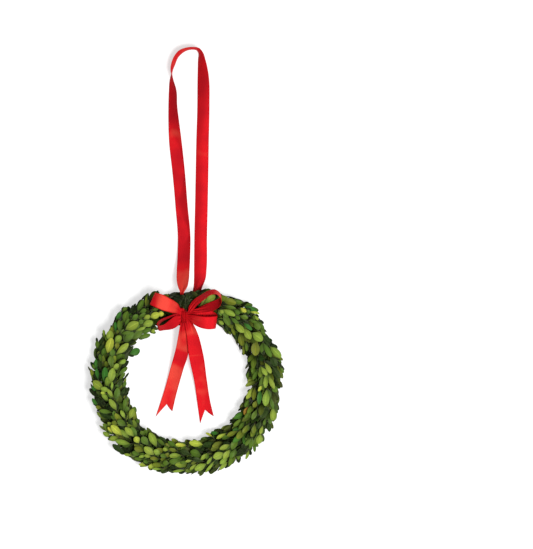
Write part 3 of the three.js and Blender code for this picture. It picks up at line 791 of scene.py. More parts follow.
# Leaves that stand out in the photograph, by tint: the pixel of the middle, the way it points,
# anticlockwise from the right, and its length and width in mm. The first ones lie on top.
SEEN_LEAVES = {
    "yellow": [
        (109.5, 345.5, 75, 19, 10.5), (103, 393, 170, 6, 4), (116.5, 430.5, 138, 18, 9),
        (110, 430, 130, 9, 4), (137, 440, 120, 9, 8), (180.5, 445, 180, 12.5, 6),
        (196, 443.5, 170, 17, 8.5), (209, 434.5, 145, 10, 3.5), (221, 436, 210, 13, 5),
        (260, 388.5, 240, 8, 4), (243.5, 310, 325, 9, 6), (155, 315.5, 20, 12.5, 9), (161, 314, 10, 7, 7),
        (255, 312.5, 355, 12, 4),
    ],
    "light": [
        (110, 336, 90, 14, 9.5), (118, 339, 45, 10.5, 8), (116, 366.5, 40, 9, 6),
        (122.5, 362, 25, 9.5, 6), (111.5, 376, 78, 20, 9.5), (98, 385.5, 145, 17, 10.5),
        (105, 389.5, 160, 11, 6.5), (110, 393, 125, 12, 5), (105, 397, 135, 11, 6),
        (113, 404.5, 122, 16, 7), (112, 386, 85, 10, 3.5), (123, 414.5, 120, 11, 5),
        (131.5, 414, 60, 14, 8.5), (124.5, 434, 138, 15, 6), (129.5, 432, 135, 15, 8),
        (106.5, 434.5, 165, 11, 7), (113.5, 438.5, 195, 12, 7), (122.5, 442.5, 170, 19, 7),
        (153, 439.5, 115, 19, 9), (149, 451, 142, 15, 9), (157, 452, 160, 9, 7), (147.5, 456, 170, 8, 5),
        (142, 456.5, 190, 8, 4), (128, 455, 175, 10, 4), (157, 469, 180, 12, 4),
        (175, 455.5, 185, 14, 6.5), (188.5, 461, 190, 8, 3.5), (200.5, 467, 208, 16, 9),
        (193, 467, 220, 11, 4), (209.5, 460.5, 235, 11, 4), (218.5, 455.5, 205, 14, 9.5),
        (223.5, 461, 225, 11, 7), (223.5, 466, 225, 15, 5), (224.5, 447, 205, 13, 6),
        (210, 467, 235, 18, 4), (165.5, 449.5, 165, 7, 5), (179, 471, 190, 15, 4), (273, 414, 275, 16, 9),
        (266, 398, 265, 20, 9), (259.5, 439, 260, 13, 9), (261.5, 430, 255, 11, 5),
        (247.5, 455, 255, 12, 4), (226.5, 454.5, 235, 13, 7), (257.5, 336.5, 325, 15.5, 11),
        (247.5, 334, 300, 15, 9), (276, 352, 320, 19, 9), (264, 371, 305, 13, 6), (268, 368, 300, 15, 6),
        (265.5, 381.5, 270, 16, 6), (271.5, 382.5, 295, 17, 6), (229, 312.5, 335, 17, 7),
        (239.5, 328, 315, 16, 8.5), (221, 322.5, 320, 8, 5), (221.5, 311.5, 330, 6, 5),
        (147, 317, 20, 8, 6), (148, 323.5, 15, 13, 9.5), (132, 326, 30, 18, 11), (141, 329, 20, 13, 4.5),
        (153, 331, 10, 5, 6), (104, 333.5, 110, 10, 4), (204, 456.5, 225, 11, 5), (210, 299, 35, 16, 8),
        (256.5, 317.5, 310, 8, 4), (122.5, 349, 40, 20, 8.5),
    ],
    "mid": [
        (129, 336.5, 40, 15, 9), (137, 335, 38, 17, 9), (112.5, 353, 90, 10, 7), (97.5, 345, 110, 11, 6),
        (103.5, 352, 70, 11, 6), (100.5, 358, 110, 9.5, 5.5), (111, 361.5, 90, 14, 8),
        (122.5, 371.5, 42, 14, 5), (122, 376.5, 45, 12, 4.5), (117, 394, 80, 16, 8),
        (105.5, 411.5, 172, 16, 5.5), (114.5, 415, 105, 10.5, 5), (124.5, 405, 80, 16, 6),
        (127.5, 400, 85, 9, 3.5), (127, 409, 130, 9, 6), (133.5, 411, 60, 12, 8),
        (124.5, 384.5, 60, 8, 5), (121.5, 423, 150, 12, 8), (134, 432, 120, 14, 7),
        (145, 441, 130, 13, 9), (142, 433, 110, 6, 5), (136, 453.5, 165, 10, 7), (139, 459, 175, 12, 4.5),
        (146, 462, 150, 7, 5), (163.5, 456, 165, 8, 6), (137.5, 421, 100, 6, 4), (175, 461.5, 183, 14, 8),
        (184, 462.5, 190, 10, 5), (195.5, 453, 160, 13, 9), (161, 442, 140, 13, 5),
        (172.5, 444.5, 140, 14, 6), (166, 463, 180, 8, 7), (272, 403, 285, 16, 5),
        (264.5, 422, 260, 9, 4), (256, 440, 265, 11, 5), (251.5, 443, 260, 14, 6.5),
        (248, 442, 230, 11, 5), (254.5, 448, 280, 11, 4), (234.5, 443.5, 242, 15, 8),
        (232.5, 454, 245, 12, 6), (241.5, 425.5, 235, 12, 5), (247.5, 415.5, 235, 10, 6),
        (247, 403.5, 245, 10, 6), (254.5, 414.5, 245, 14, 6), (226, 437, 195, 11, 6),
        (246.5, 347, 270, 11, 4), (267.5, 350, 300, 20, 7.5), (282, 370, 305, 9, 4),
        (262, 382.5, 262, 19, 7), (275, 389, 295, 9, 8), (253, 369, 265, 12, 6), (255, 375, 245, 13, 5),
        (263, 332, 305, 11, 5), (238, 302, 355, 11, 5.5), (230, 307, 345, 15, 4.5), (237, 312, 320, 8, 6),
        (248, 311.5, 330, 6, 5), (244, 317, 345, 10.5, 6), (253.5, 321.5, 345, 10, 4),
        (257, 326, 315, 11, 8), (261, 325, 305, 14, 5), (226.5, 320, 300, 15, 8), (235, 321, 320, 14, 5),
        (237.5, 317.5, 310, 7, 5), (153, 295, 60, 12, 7), (140.5, 305.5, 65, 15, 7),
        (207.5, 291, 10, 10, 6.5), (143, 311, 20, 9, 6), (142, 315.5, 30, 10, 5), (135, 317, 30, 9, 6),
        (140.5, 322, 25, 8, 6), (125.5, 317, 75, 15, 8), (119.5, 326, 95, 15, 6),
        (124.5, 309.5, 50, 8, 6), (127, 322, 60, 10, 4), (126, 333, 10, 12, 4.5), (146, 331, 20, 14, 7),
        (145, 336, 5, 14, 7), (155, 309.5, 5, 8, 3), (247.5, 375, 250, 8, 4),
    ],
    "blue": [
        (135, 352, 15, 14, 10), (105, 375.5, 92, 20, 8.5), (96, 364, 95, 12, 5), (97, 374, 100, 14, 5),
        (94, 389, 135, 9, 4.5), (94.5, 402, 130, 11, 5), (214.5, 433, 160, 10, 5),
        (259.5, 397, 265, 18, 6), (251.5, 309, 340, 17, 7), (248, 326.5, 320, 13, 5),
        (115.5, 327, 95, 13, 4), (118.5, 316, 60, 12, 6),
    ],
    "olive": [
        (117, 346, 80, 9, 6), (92.5, 374.5, 105, 14, 6), (98.5, 407.5, 165, 8, 5),
        (114.5, 423, 170, 7, 6), (139, 449.5, 160, 12, 8), (157.5, 465, 178, 13, 7.5),
        (150.5, 467.5, 180, 7, 6), (154, 458.5, 175, 10, 5), (173, 450, 165, 10, 5),
        (167.5, 455, 170, 7, 6), (245.5, 429, 240, 12, 6), (255, 404, 250, 9, 6), (254, 429, 260, 12, 6),
        (232, 433.5, 205, 14, 6), (255.5, 348, 270, 19, 11), (243.5, 349.5, 265, 15, 4),
        (254, 394, 265, 14, 6), (249, 394, 225, 11, 4), (229.5, 301.5, 345, 17, 9),
        (233, 331, 290, 12, 4.5), (241, 340, 280, 15, 8), (146, 301, 85, 12, 3), (205, 302, 40, 18, 8),
    ],
    "deep": [
        (101.5, 343, 95, 15, 6), (106, 416, 158, 17, 7.5), (124, 391, 40, 12, 6), (119.5, 384, 60, 14, 6),
        (118.5, 449, 145, 19, 9), (130.5, 423, 110, 11, 6), (210, 444.5, 185, 20, 8),
        (185, 452.5, 160, 13, 7), (197, 460, 165, 13, 6), (206, 469, 240, 10, 4),
        (163.5, 441, 130, 16, 6), (216, 461.5, 220, 8, 6), (269, 427, 285, 13, 6), (259, 425, 245, 10, 7),
        (264, 412, 245, 17, 10), (273.5, 361, 300, 14, 9), (276, 372.5, 305, 17, 9),
        (253, 316, 320, 11, 7), (227, 327.5, 290, 9, 6), (236, 336, 290, 11, 6), (266, 342, 315, 14, 4),
        (163, 322, 15, 15, 8), (170, 318, 20, 15, 9), (171, 325, 20, 15, 8), (178, 323, 10, 14, 8),
        (178, 318, 5, 14, 8), (266, 338, 315, 14, 8), (123, 394, 70, 12, 7), (100, 364.5, 100, 12, 7),
        (101, 349, 70, 12, 7), (191, 465.5, 190, 11, 7), (188, 297, 110, 9, 5),
    ],
    "shade": [
        (126, 353, 42, 25, 8), (124.5, 365, 40, 15, 7), (126, 376.5, 50, 12, 3), (96, 394, 147, 22, 8),
        (101, 402, 145, 18, 7), (127, 391, 55, 11, 5), (127, 450, 150, 16, 9), (137, 426, 120, 14, 8),
        (142.5, 429.5, 125, 12, 4), (178, 467, 185, 20, 6), (233.5, 421, 205, 12, 3),
        (234, 426, 215, 10, 4), (240.5, 409, 205, 8, 3), (240, 452, 240, 13, 8), (244, 446, 250, 12, 7),
        (280, 364, 305, 10, 3.5), (251, 361, 265, 14, 7), (258, 363, 270, 18, 6), (262, 350, 290, 14, 6),
        (270, 343, 325, 10, 3), (244, 321.5, 340, 12, 5), (134, 308, 90, 11, 3.5), (130, 313, 60, 10, 5),
        (97, 341, 115, 9, 4), (186.5, 300, 75, 11, 6), (184, 297.5, 140, 10, 5.5), (190, 298, 50, 11, 6),
        (189, 302, 30, 11, 6), (192, 295, 100, 12, 7), (182.5, 301, 60, 10, 5.5), (187, 305.5, 80, 11, 7),
        (223.5, 304, 330, 12, 8), (96.5, 390, 130, 10, 7), (246, 450, 245, 14, 8), (197, 450, 160, 12, 7),
    ],
    "brown": [
        (246, 411, 250, 11, 6),
    ],
}
SEEN_REACH = {
    "yellow": 24.5, "light": 24.0, "mid": 22.5, "blue": 22.5, "olive": 22.0, "brown": 22.0,
    "deep": 20.5, "shade": 19.0,
}
SEEN_SEED = 9000
SEEN_SINKS = [0, 1, 2, -0.8, 3, 4.5, 6, 8, 10, 12]
SEEN_STEEPEST = 0.9
SEEN_SLOPE = 0.55
SEEN_LIFT = 9.0
SEEN_TILT = (-10, 10)
SEEN_ARCH = (0.02, 0.12)
SEEN_CUP = (0.0, 0.12)
SEEN_OUTWARD = 0.7
PETIOLE_SINK = 9.0
PETIOLE_RUN = 6.0
PETIOLE_POINTS = 6
PETIOLE_RADIUS = 0.5
PETIOLE_SIDES = 5
PETIOLE_CURVE = 1.6


def seen_leaf(px, py, heading, length, width, reach, draw):
    """A leaf whose middle lies in the foliage where the photograph shows it."""
    middle = seen_at(px, py, AXIS_HEIGHT + SEEN_OUTWARD * reach)
    out = unit(middle * [1, 1, 0])
    aside = (np.linalg.norm(middle[:2]) - RING_RADIUS) / reach
    aside = min(max(aside, -SEEN_STEEPEST), SEEN_STEEPEST)
    middle = seen_at(px, py, AXIS_HEIGHT + reach * math.sqrt(1 - aside**2))
    normal = unit(UP + out * aside * SEEN_SLOPE)
    heading = math.radians(heading)
    flat = np.array([math.cos(heading), math.sin(heading), 0.0])
    level = unit(flat - normal * (flat @ normal))
    side = np.cross(normal, level)
    leaf = {
        "root": middle,
        "base": (level, side, normal),
        "turn": 0.0,
        "lift": math.radians(SEEN_LIFT),
        "tilt": math.radians(draw(*SEEN_TILT)),
        "length": length,
        "width": width,
        "arch": draw(*SEEN_ARCH),
        "cup": draw(*SEEN_CUP),
        "roll": 0.0,
    }
    leaf = bent(leaf, 0)
    leaf["root"] = middle - leaf["axes"][0] * length / 2
    return leaf


def petiole_path(leaf):
    """The thin stem that carries a lone leaf, from inside the foliage."""
    pointing, _, upper = leaf["axes"]
    back = 1 - np.linspace(0, 1, PETIOLE_POINTS)[:, None]
    return leaf["root"] - pointing * PETIOLE_RUN * back - upper * PETIOLE_SINK * back**PETIOLE_CURVE


# The pairs of leaves lower down that stem: the point of its path, and their length as a share of the
# top leaf's.
LOWER_PAIRS = [(0, 0.9), (2, 0.8), (4, 0.75), (3, 0.7)]
LOWER_LENGTHS = (11.0, 17.0)
LOWER_WIDTH = 0.5
LOWER_BENDS = [0, -5, -10, -15, -20, -25]
LOWER_TURN = (20, 42)
LOWER_DROP = (-16, -6)
LOWER_TILT = (-8, 8)
LOWER_TINTS = ["shade", "mid", "shade", "mid", "shade"]


def lower_leaf(leaf, root, way, share, draw):
    length = share * min(max(leaf["length"], LOWER_LENGTHS[0]), LOWER_LENGTHS[1])
    return {
        **leaf,
        "root": root,
        "base": leaf["axes"],
        "turn": math.radians(way * draw(*LOWER_TURN)),
        "lift": math.radians(draw(*LOWER_DROP)),
        "tilt": math.radians(draw(*LOWER_TILT)),
        "length": length,
        "width": length * LOWER_WIDTH,
    }


def add_lower_pairs(stems):
    """Fills the room under the leaves that stand out with leaves on the same stems."""
    for surface, leaf, draw in stems:
        path = petiole_path(leaf)
        for point, share in LOWER_PAIRS:
            for way in (1, -1):
                tint = TINTS[LOWER_TINTS[int(draw(0, len(LOWER_TINTS)))]]
                lower = lower_leaf(leaf, path[point], way, share, draw)
                found = placed(lower, bends=LOWER_BENDS)
                if found:
                    GROWN.add(found[1])
                    add_leaf(surface, found[0], jitter(tint, draw, USUAL_SPREAD), draw)


# A bunch's packed stems, drawn in at its waist.
CORE_PROFILE = [
    (0.15, WAIST_RADIUS),
    (5.5, WAIST_RADIUS),
    (10, CORE_RADIUS),
    (BUNCH_LENGTH - 0.15, CORE_RADIUS),
]
CORE_STATIONS = 24
CORE_SIDES = 16
CORE_SEED = 5000
CORE_SLIMNESS = 0.6


def core_path(start):
    at = np.linspace(CORE_PROFILE[0][0], CORE_PROFILE[-1][0], CORE_STATIONS)
    radii = np.interp(at, *zip(*CORE_PROFILE))
    path = np.array([ring_point(start + a, 0, r - CORE_RADIUS) for a, r in zip(at, radii)])
    return path, radii


def add_seen_leaves(surfaces):
    """Adds the leaves that stand out. Gives them, with where each is added and its random numbers."""
    stems = []
    rows = [(tint, row) for tint, table in SEEN_LEAVES.items() for row in table]
    for number, (tint, row) in enumerate(rows):
        found = None
        for sink in SEEN_SINKS:
            draw = stream(SEEN_SEED + number)
            leaf = seen_leaf(*row, SEEN_REACH[tint] - sink, draw)
            shape = Shape(*plain_blade(leaf))
            if not clear_of_obstacles(shape):
                continue
            found = found or (leaf, shape, draw)
            if not GROWN.crosses(shape):
                found = leaf, shape, draw
                break
        if found:
            leaf, shape, draw = found
            GROWN.add(shape)
            surface = surfaces[int(places(shape.middle) % LAP // BUNCH_LENGTH)]
            add_leaf(surface, leaf, jitter(TINTS[tint], draw, SEEN_SPREAD), draw)
            add_tube(surface, petiole_path(leaf), PETIOLE_RADIUS, PETIOLE_SIDES, slot=TWIG_SLOT)
            stems.append((surface, leaf, draw))
    return stems


def grow(surface, sprays, start=None):
    """Adds the sprays that have room, with the leaves that do."""
    for spray in sprays:
        spray["path"] = twig_path(spray, spray["length"])
        spray["shape"] = tube_shape(spray["path"], TWIG_RADIUS[0], 3)
    sprays = [s for s in sprays if not near_obstacles(s["path"], TWIG_RADIUS[0] + GAP)]
    for spray in sprays:
        GROWN.add(spray["shape"])
    for spray in sprays:
        reach = 0.0
        for leaf, tint in zip(spray["leaves"], spray_tints(spray, len(spray["leaves"]))):
            found = placed(leaf, spray["shape"], start)
            if found:
                GROWN.add(found[1])
                add_leaf(surface, found[0], tint, spray["draw"], SLIMNESS)
                reach = max(reach, leaf["distance"])
        if reach:
            path = twig_path(spray, reach)
            add_tube(surface, path, np.linspace(*TWIG_RADIUS, len(path)), TWIG_SIDES, slot=TWIG_SLOT)


def spray_seed(bunch, row, place):
    return 100 * bunch + 10 * row + place + 1


def make_foliage():
    surfaces = [Surface() for _ in range(BUNCH_COUNT)]
    starts = [index * BUNCH_LENGTH for index in range(BUNCH_COUNT)]
    stems = add_seen_leaves(surfaces)
    for index, (surface, start) in enumerate(zip(surfaces, starts)):
        path, radii = core_path(start)
        GROWN.add(tube_shape(path, radii, 6))
        draw = stream(CORE_SEED + index)
        slimmer = CORE_SLIMNESS * np.array([draw(0, 1) for _ in radii])
        add_tube(surface, path, radii - slimmer, CORE_SIDES, slot=CORE_SLOT)
        sprays = [
            spray_of(start + begin, around, LEAN, SPRAY_DRAWS, PAIRS, 0, spray_seed(index, r, i))
            for r, (begin, row) in enumerate(ROWS)
            for i, around in enumerate(row)
        ]
        grow(surface, sprays, start)
    for r, (begin, row) in enumerate(FILL_ROWS):
        for index, (surface, start) in enumerate(zip(surfaces, starts)):
            for i, around in enumerate(row):
                seed = FILL_SEED + spray_seed(index, r, i)
                level = FILL_LEVELS[(i + r + index) % len(FILL_LEVELS)]
                spray = spray_of(
                    start + begin, around, FILL_LEAN, FILL_DRAWS, FILL_PAIRS, level, seed
                )
                grow(surface, [spray])
    add_lower_pairs(stems)
    for index, surface in enumerate(surfaces):
        name = f"{index + 1:02}"
        surface.piece(f"boxwood_{name}", FOLIAGE, "boxwood", f"bunch_{name}")


# Curves and wires.
def through(points, step, closed=False):
    """Points on a smooth curve through the given ones, every step mm or so. They may be pairs."""
    count = len(points)
    parts = count if closed else count - 1
    ends = np.take(points, range(1, parts + 1), 0, mode="wrap")
    steps = ends - points[:parts]
    lengths = np.linalg.norm(steps.reshape(parts, -1, 3).mean(1), axis=1)
    lengths = lengths.reshape(-1, *[1] * (points.ndim - 1))
    after = np.arange(count)
    before = after - 1
    if not closed:
        after, before = np.minimum(after, parts - 1), np.maximum(before, 0)
    slopes = steps / lengths
    shares = lengths[after] / (lengths[after] + lengths[before])
    tangents = slopes[before] * shares + slopes[after] * (1 - shares)
    made = []
    for i in range(parts):
        start, end = tangents[i] * lengths[i], tangents[(i + 1) % count] * lengths[i]
        pieces = max(1, round(lengths[i].item() / step))
        for t in np.arange(pieces) / pieces:
            rise = t * t * (3 - 2 * t)
            made.append(points[i] + steps[i] * rise + start * t * (1 - t) ** 2 - end * t * t * (1 - t))
    if not closed:
        made.append(points[-1])
    return np.array(made)


# The binding wire's stops in each bunch: the place along the ring, how far below the bunch's axis the
# wire's own middle is, its distance from there, and the angle, anticlockwise from outward.
ROUND_FRAME = 2.7
ROUND_WAIST = 6.4
BINDING_STOPS = [
    (0.8, FRAME_DROP, ROUND_FRAME, -150),
    *[(1.4 + 0.5 * i, WAIST_DROP, ROUND_WAIST, 210 - 60 * i) for i in range(5)],
    *[(4 + 0.4 * i, FRAME_DROP, ROUND_FRAME, -30 - 60 * i) for i in range(3)],
    (BUNCH_LENGTH / 2, FRAME_DROP, ROUND_FRAME, -150),
]
BINDING_STEP = 1.5
BINDING_SIDES = 8
FRAME_STATIONS = 240
FRAME_SIDES = 16


def binding_point(arc, drop, radius, degrees):
    angle = math.radians(degrees)
    return ring_point(arc, radius * math.cos(angle), radius * math.sin(angle) - drop)


def make_wires():
    ring = Surface()
    path = [ring_point(a, 0, -FRAME_DROP) for a in np.linspace(0, LAP, FRAME_STATIONS, endpoint=False)]
    add_tube(ring, path, FRAME_WIRE_RADIUS, FRAME_SIDES, closed=True)
    ring.piece("frame_ring", [STEEL], "frame_wire", "ring_frame")
    starts = BUNCH_LENGTH * np.arange(BUNCH_COUNT)
    stops = [binding_point(start + arc, *rest) for start in starts for arc, *rest in BINDING_STOPS]
    path = through(np.array(stops), BINDING_STEP, closed=True)
    wire = Surface()
    add_tube(wire, path, BINDING_WIRE_RADIUS, BINDING_SIDES, closed=True)
    wire.piece("binding", [LACQUER], "binding_wire", "binding_wire")


# Ribbons: each is a strip between two edges, close to the solids' own. A row is x, y and z of one edge
# and then of the other.
LAID = 0.3
HANGER_ROUTE = [
    (-4.2, 79, 29.5, -0.2, 79, 29.5), (-5, 77.8, 20, 1, 77.8, 20), (-6, 77.3, 10, 4, 77.3, 10),
    (-5.8, 78.3, 3, 7.2, 77.8, 3), (-4, 82.5, LAID, 10, 81, LAID), (0, 92, LAID, 12.5, 89, LAID),
    (5, 104, LAID, 15.5, 101.5, 4), (8.4, 116, LAID, 19, 114.5, 4), (9, 126, LAID, 23.4, 126, 1),
    (9.1, 140, LAID, 24.9, 140, LAID), (9.4, 176, LAID, 25.3, 176, LAID),
    (10.3, 217, LAID, 26.2, 217, LAID), (11.1, 258, LAID, 27, 258, LAID),
    (11.9, 300, LAID, 27.6, 300, LAID), (13.2, 342, LAID, 28.4, 342, 5), (13.6, 383, LAID, 27, 383, 9),
    (14, 400, LAID, 23.6, 399, 12.4), (14.6, 408, LAID, 20.2, 408.6, 14.8),
    (12.4, 412, LAID, 15.6, 413.6, 15.9), (7.4, 413.4, LAID, 6.6, 414.8, 16.1),
    (0.5, 412.2, LAID, -2.2, 413.4, 15.9), (-6, 408.3, LAID, -9.4, 410.2, 15.6),
    (-11.4, 402.4, LAID, -15.2, 403, 15.6), (-14.8, 394, LAID, -18.6, 394.4, 15.6),
    (-18.4, 385.4, LAID, -19.6, 385.8, 16.3), (-21.4, 374, LAID, -16.3, 374, 15.4),
    (-22.3, 362, LAID, -12.8, 362, 13.2), (-23.1, 342, LAID, -11.6, 342, 11.4),
    (-23.1, 321, LAID, -9.1, 321, 8), (-22.3, 300, LAID, -6.6, 300, 3),
    (-17.9, 258, LAID, -2.1, 258, 0.8), (-14.1, 217, 0.6, 1.2, 217, 4.4),
    (-11.2, 176, 1.2, 4.7, 176, 1.6), (-11.5, 156, 5, 4.4, 156, 5), (-12.3, 135, 13, 3.6, 135, 12.4),
    (-12.2, 125, 18.4, 3, 125, 18), (-10.4, 116, 23, 1, 116, 23), (-8, 110.4, 26.2, -2.4, 110.4, 26.2),
    (-6.8, 105, 27.4, -4.4, 105, 27.6), (-6.3, 97, 24.6, -3.1, 97, 24.6),
    (-5.7, 89, 26.4, -2.2, 89, 26.4), (-4.9, 83, 29.2, -0.9, 83, 29.2),
]
KNOT_CENTRE = np.array([-2.3, 79.8, 33.5])
UPPER_LEFT_LOOP = [
    (-5.5, 84, 33.5, -5.5, 80.5, 32), (-15, 95, 36.5, -18, 84, 35), (-28, 104.5, 38.5, -34, 90.5, 37.5),
    (-35.5, 108.3, 39.8, -42.4, 94, 38.8), (-37.6, 109.6, 42.5, -44.6, 94.6, 41.5),
    (-36.5, 109, 46, -43.4, 94, 45), (-29.8, 107.4, 49, -36, 90.4, 48), (-21, 102.9, 48, -27, 86.8, 47),
    (-13.5, 98.4, 43.8, -18.5, 84.8, 43.5), (-8.8, 94.4, 39.5, -10.8, 83, 39),
    (-5.8, 89.5, 35.4, -5.5, 80, 34.8),
]
LOWER_RIGHT_LOOP = [
    (1, 81.5, 33.2, 1, 77.5, 32.2), (12, 86, 35.3, 9, 74, 33.2), (24, 87.8, 35.8, 22, 72.6, 32.7),
    (33.4, 86, 35.6, 32, 70.2, 33), (38.8, 81.5, 38.5, 36.8, 65.8, 36), (38.2, 80.4, 43, 36, 64.6, 41),
    (30, 79.6, 46, 28, 63.8, 44.5), (18, 80, 45.4, 17, 66, 43.6), (8.5, 81.6, 40.6, 7.6, 70.9, 39.5),
    (1, 82, 35.2, 1, 75.6, 34.6),
]
UPPER_RIGHT_LOOP = [
    (1, 84.4, 33.3, 1, 81.6, 34.4), (4.2, 92.5, 35, 8.4, 87.3, 40), (9.6, 100.1, 36.5, 14.6, 94.1, 46),
    (18.8, 106.6, 37, 24.6, 101.9, 50.5), (28, 112, 37.5, 32.1, 106.6, 51.5),
    (34.5, 113.6, 38, 37.8, 107, 52), (39.4, 111.5, 38.5, 41.5, 104, 52),
    (42.6, 108.2, 38.5, 44, 99.6, 51.5), (43.6, 104.5, 38, 42.1, 93.1, 49.5),
    (39, 101, 37.5, 37.8, 89.4, 48), (30, 97.5, 37.2, 32.8, 86.6, 47), (20, 92.8, 37, 21, 84.6, 44.8),
    (10.6, 88.8, 35.8, 9.5, 84, 40), (1, 83.6, 34.2, 1, 81.4, 36),
]
LOWER_LEFT_LOOP = [
    (-5.5, 78.4, 31.8, -5.5, 81.6, 34), (-15.4, 78.5, 32, -13, 82.9, 38.6),
    (-22.6, 76.3, 31.4, -22.6, 79.9, 43), (-29.1, 73.5, 30.8, -29.8, 76.9, 45),
    (-33.5, 68.8, 30.8, -34.6, 73.2, 45.4), (-35.4, 64.5, 31, -36, 69.8, 45),
    (-33.8, 62, 31, -32.8, 68.4, 44.5), (-27.3, 62.5, 31, -27.3, 69.4, 44),
    (-19.2, 63.4, 31, -19.8, 75.4, 42), (-12.2, 66.4, 31, -13.2, 80.2, 39.8),
    (-8, 70.4, 31.2, -8.8, 81, 37), (-5.5, 75.2, 31.8, -5.5, 80.8, 34.8),
]
LEFT_TAIL = [
    (-6, 76.5, 31.6, -1, 76.5, 31.6), (-7.8, 68.5, 27, 0.6, 68.5, 27), (-10.5, 53.5, 21.5, 2.6, 51.4, 21),
    (-13.5, 39, 15.5, 2.6, 35.4, 15), (-20, 16, 7.5, -4.4, 12.3, 7), (-28.5, -14, 2.4, -12.9, -17.7, 2.2),
    (-39.1, -46.5, LAID, -18, -39.5, LAID),
]
RIGHT_TAIL = [
    (-2, 76.5, 32, 4.4, 76.5, 32), (-1.4, 69.7, 29.6, 7.9, 71.5, 29), (0.4, 56, 24.8, 13.7, 59.7, 24.5),
    (2.6, 32, 16.9, 20.6, 33.8, 16.5), (9.5, -2.8, 6.5, 25.3, -0.4, 6.5),
    (12.8, -27, 2.2, 28.9, -24.6, 2.2), (16.6, -55, LAID, 33.8, -45.8, LAID),
]
NOTCH_DEPTH = 13.0
GATHERED_MIDDLE = [
    (-7.6, 84.4, 34.2, -7.6, 74.4, 33), (-2.3, 83.6, 33.6, -2.3, 75.2, 32.8),
    (4, 84.2, 34.4, 4, 74, 33.2),
]

NOTCH_START = 0.6
SATIN_THICKNESS = 0.25
RIBBON_COLUMNS = 25
RIBBON_STEP = 2.2
PLEAT_SLACK = 1.0
PLEAT_EASE = 5.0
PLEAT_SHIFT = 0.05
DRIFT = 0.35
DRIFT_LENGTHS = (23, 31)
DRIFT_ACROSS = 1.3
LOWEST_SATIN = 0.2


# Painted shine along each ribbon: shares of its length, with about -1 for shade and 1 for a highlight.
PLAIN_SHINE = [(0.0, 0.0), (1.0, 0.0)]
HANGER_SHINE = [
    (0.1, -0.9), (0.15, -0.1), (0.3, 0.0), (0.4, -0.4), (0.5, -0.6), (0.52, 0.2), (0.56, 0.2), (0.6, -0.9),
    (0.66, -0.7), (0.68, 0.3), (0.7, 0.3), (0.72, -0.8), (0.76, -0.8), (0.82, -0.4), (0.86, -1.0),
    (0.9, -0.6), (0.925, 1.1), (0.96, 1.2), (0.97, -0.5),
]
UPPER_LEFT_SHINE = [(0.4, -1.0), (0.5, 0.1), (0.57, 0.3), (0.62, 1.2), (0.85, 1.2), (0.93, 0.2), (1.0, -0.4)]
LOWER_RIGHT_SHINE = [(0.4, -0.3), (0.5, 0.3), (0.75, 0.1), (1.0, -0.3)]
UPPER_RIGHT_SHINE = [(0.0, -0.4), (0.4, -0.2), (0.5, 0.8), (0.56, -1.1), (0.75, -1.0), (0.9, 0.0)]
LOWER_LEFT_SHINE = [(0.0, -1.6), (0.45, -1.6), (0.55, -0.3), (0.8, -0.2), (1.0, -0.1)]
LEFT_TAIL_SHINE = [
    (0.0, -0.5), (0.12, 0.1), (0.18, 1.0), (0.32, 1.0), (0.37, -0.3), (0.45, -0.3), (0.52, 1.1), (0.64, 1.0),
    (0.76, 0.5), (0.88, 1.0), (1.0, 1.0),
]
RIGHT_TAIL_SHINE = [
    (0.0, -0.1), (0.14, 0.3), (0.24, -0.3), (0.355, -0.2), (0.37, 0.6), (0.385, -0.1), (0.55, 0.0),
    (0.62, 0.7), (0.72, 0.6), (0.8, -0.2), (1.0, -0.3),
]


def add_ribbon(
    surface, pairs, pleats=1.5, fullness=0.6, crown=0.0, notch=0.0, phase=0.0, shine=PLAIN_SHINE
):
    """Adds a strip of satin, pleated where its edges are closer than its width. Gives its length."""
    rows = through(np.reshape(pairs, (-1, 2, 3)), RIBBON_STEP)
    u = np.linspace(-1, 1, RIBBON_COLUMNS)
    rows, run = in_columns(rows, u, notch)
    across = rows[:, :, 1] - rows[:, :, 0]
    points = rows.mean(2) + across * u[None, :, None] / 2
    forward = np.gradient(rows.mean(2), axis=0)
    normal = np.cross(across, forward)
    normal /= np.linalg.norm(normal, axis=2)[..., None]
    width = np.minimum(np.linalg.norm(across, axis=2), RIBBON_WIDTH)
    depth = np.sqrt(2 * (RIBBON_WIDTH**2 - width**2)) / (2 * math.pi * pleats)
    depth *= np.clip((RIBBON_WIDTH - PLEAT_SLACK - width) / PLEAT_EASE, 0, 1)
    pleat = fullness * depth * np.sin(math.pi * pleats * (u + 1) + phase + PLEAT_SHIFT * run)
    long_way, slant = (run / length for length in DRIFT_LENGTHS)
    drift = DRIFT * np.sin(long_way + phase) * np.sin(DRIFT_ACROSS * u + slant + phase)
    offset = crown * (1 - u**2) + pleat + drift
    points = points + offset[..., None] * normal
    half = normal * SATIN_THICKNESS / 2
    front, back = points + half, points - half
    lift = np.maximum(0, LOWEST_SATIN - points[..., 2])
    front[..., 2] += lift
    back[..., 2] += lift
    marks = np.stack(np.broadcast_arrays(u, run, np.interp(run / run.max(), *zip(*shine))), -1)
    count, columns = run.shape
    last = run.size
    order = np.arange(last).reshape(run.shape)
    border = [*order[0], *order[1:, -1], *order[-1, -2::-1], *order[-2:0:-1, 0]]
    faces = grid_faces(count, columns)
    faces += [tuple(last + i for i in face[::-1]) for face in faces]
    faces += [(a, last + a, last + b, b) for a, b in zip(border, border[1:] + border[:1])]
    surface.add([front, back], faces, [marks, marks])
    return float(run.max())


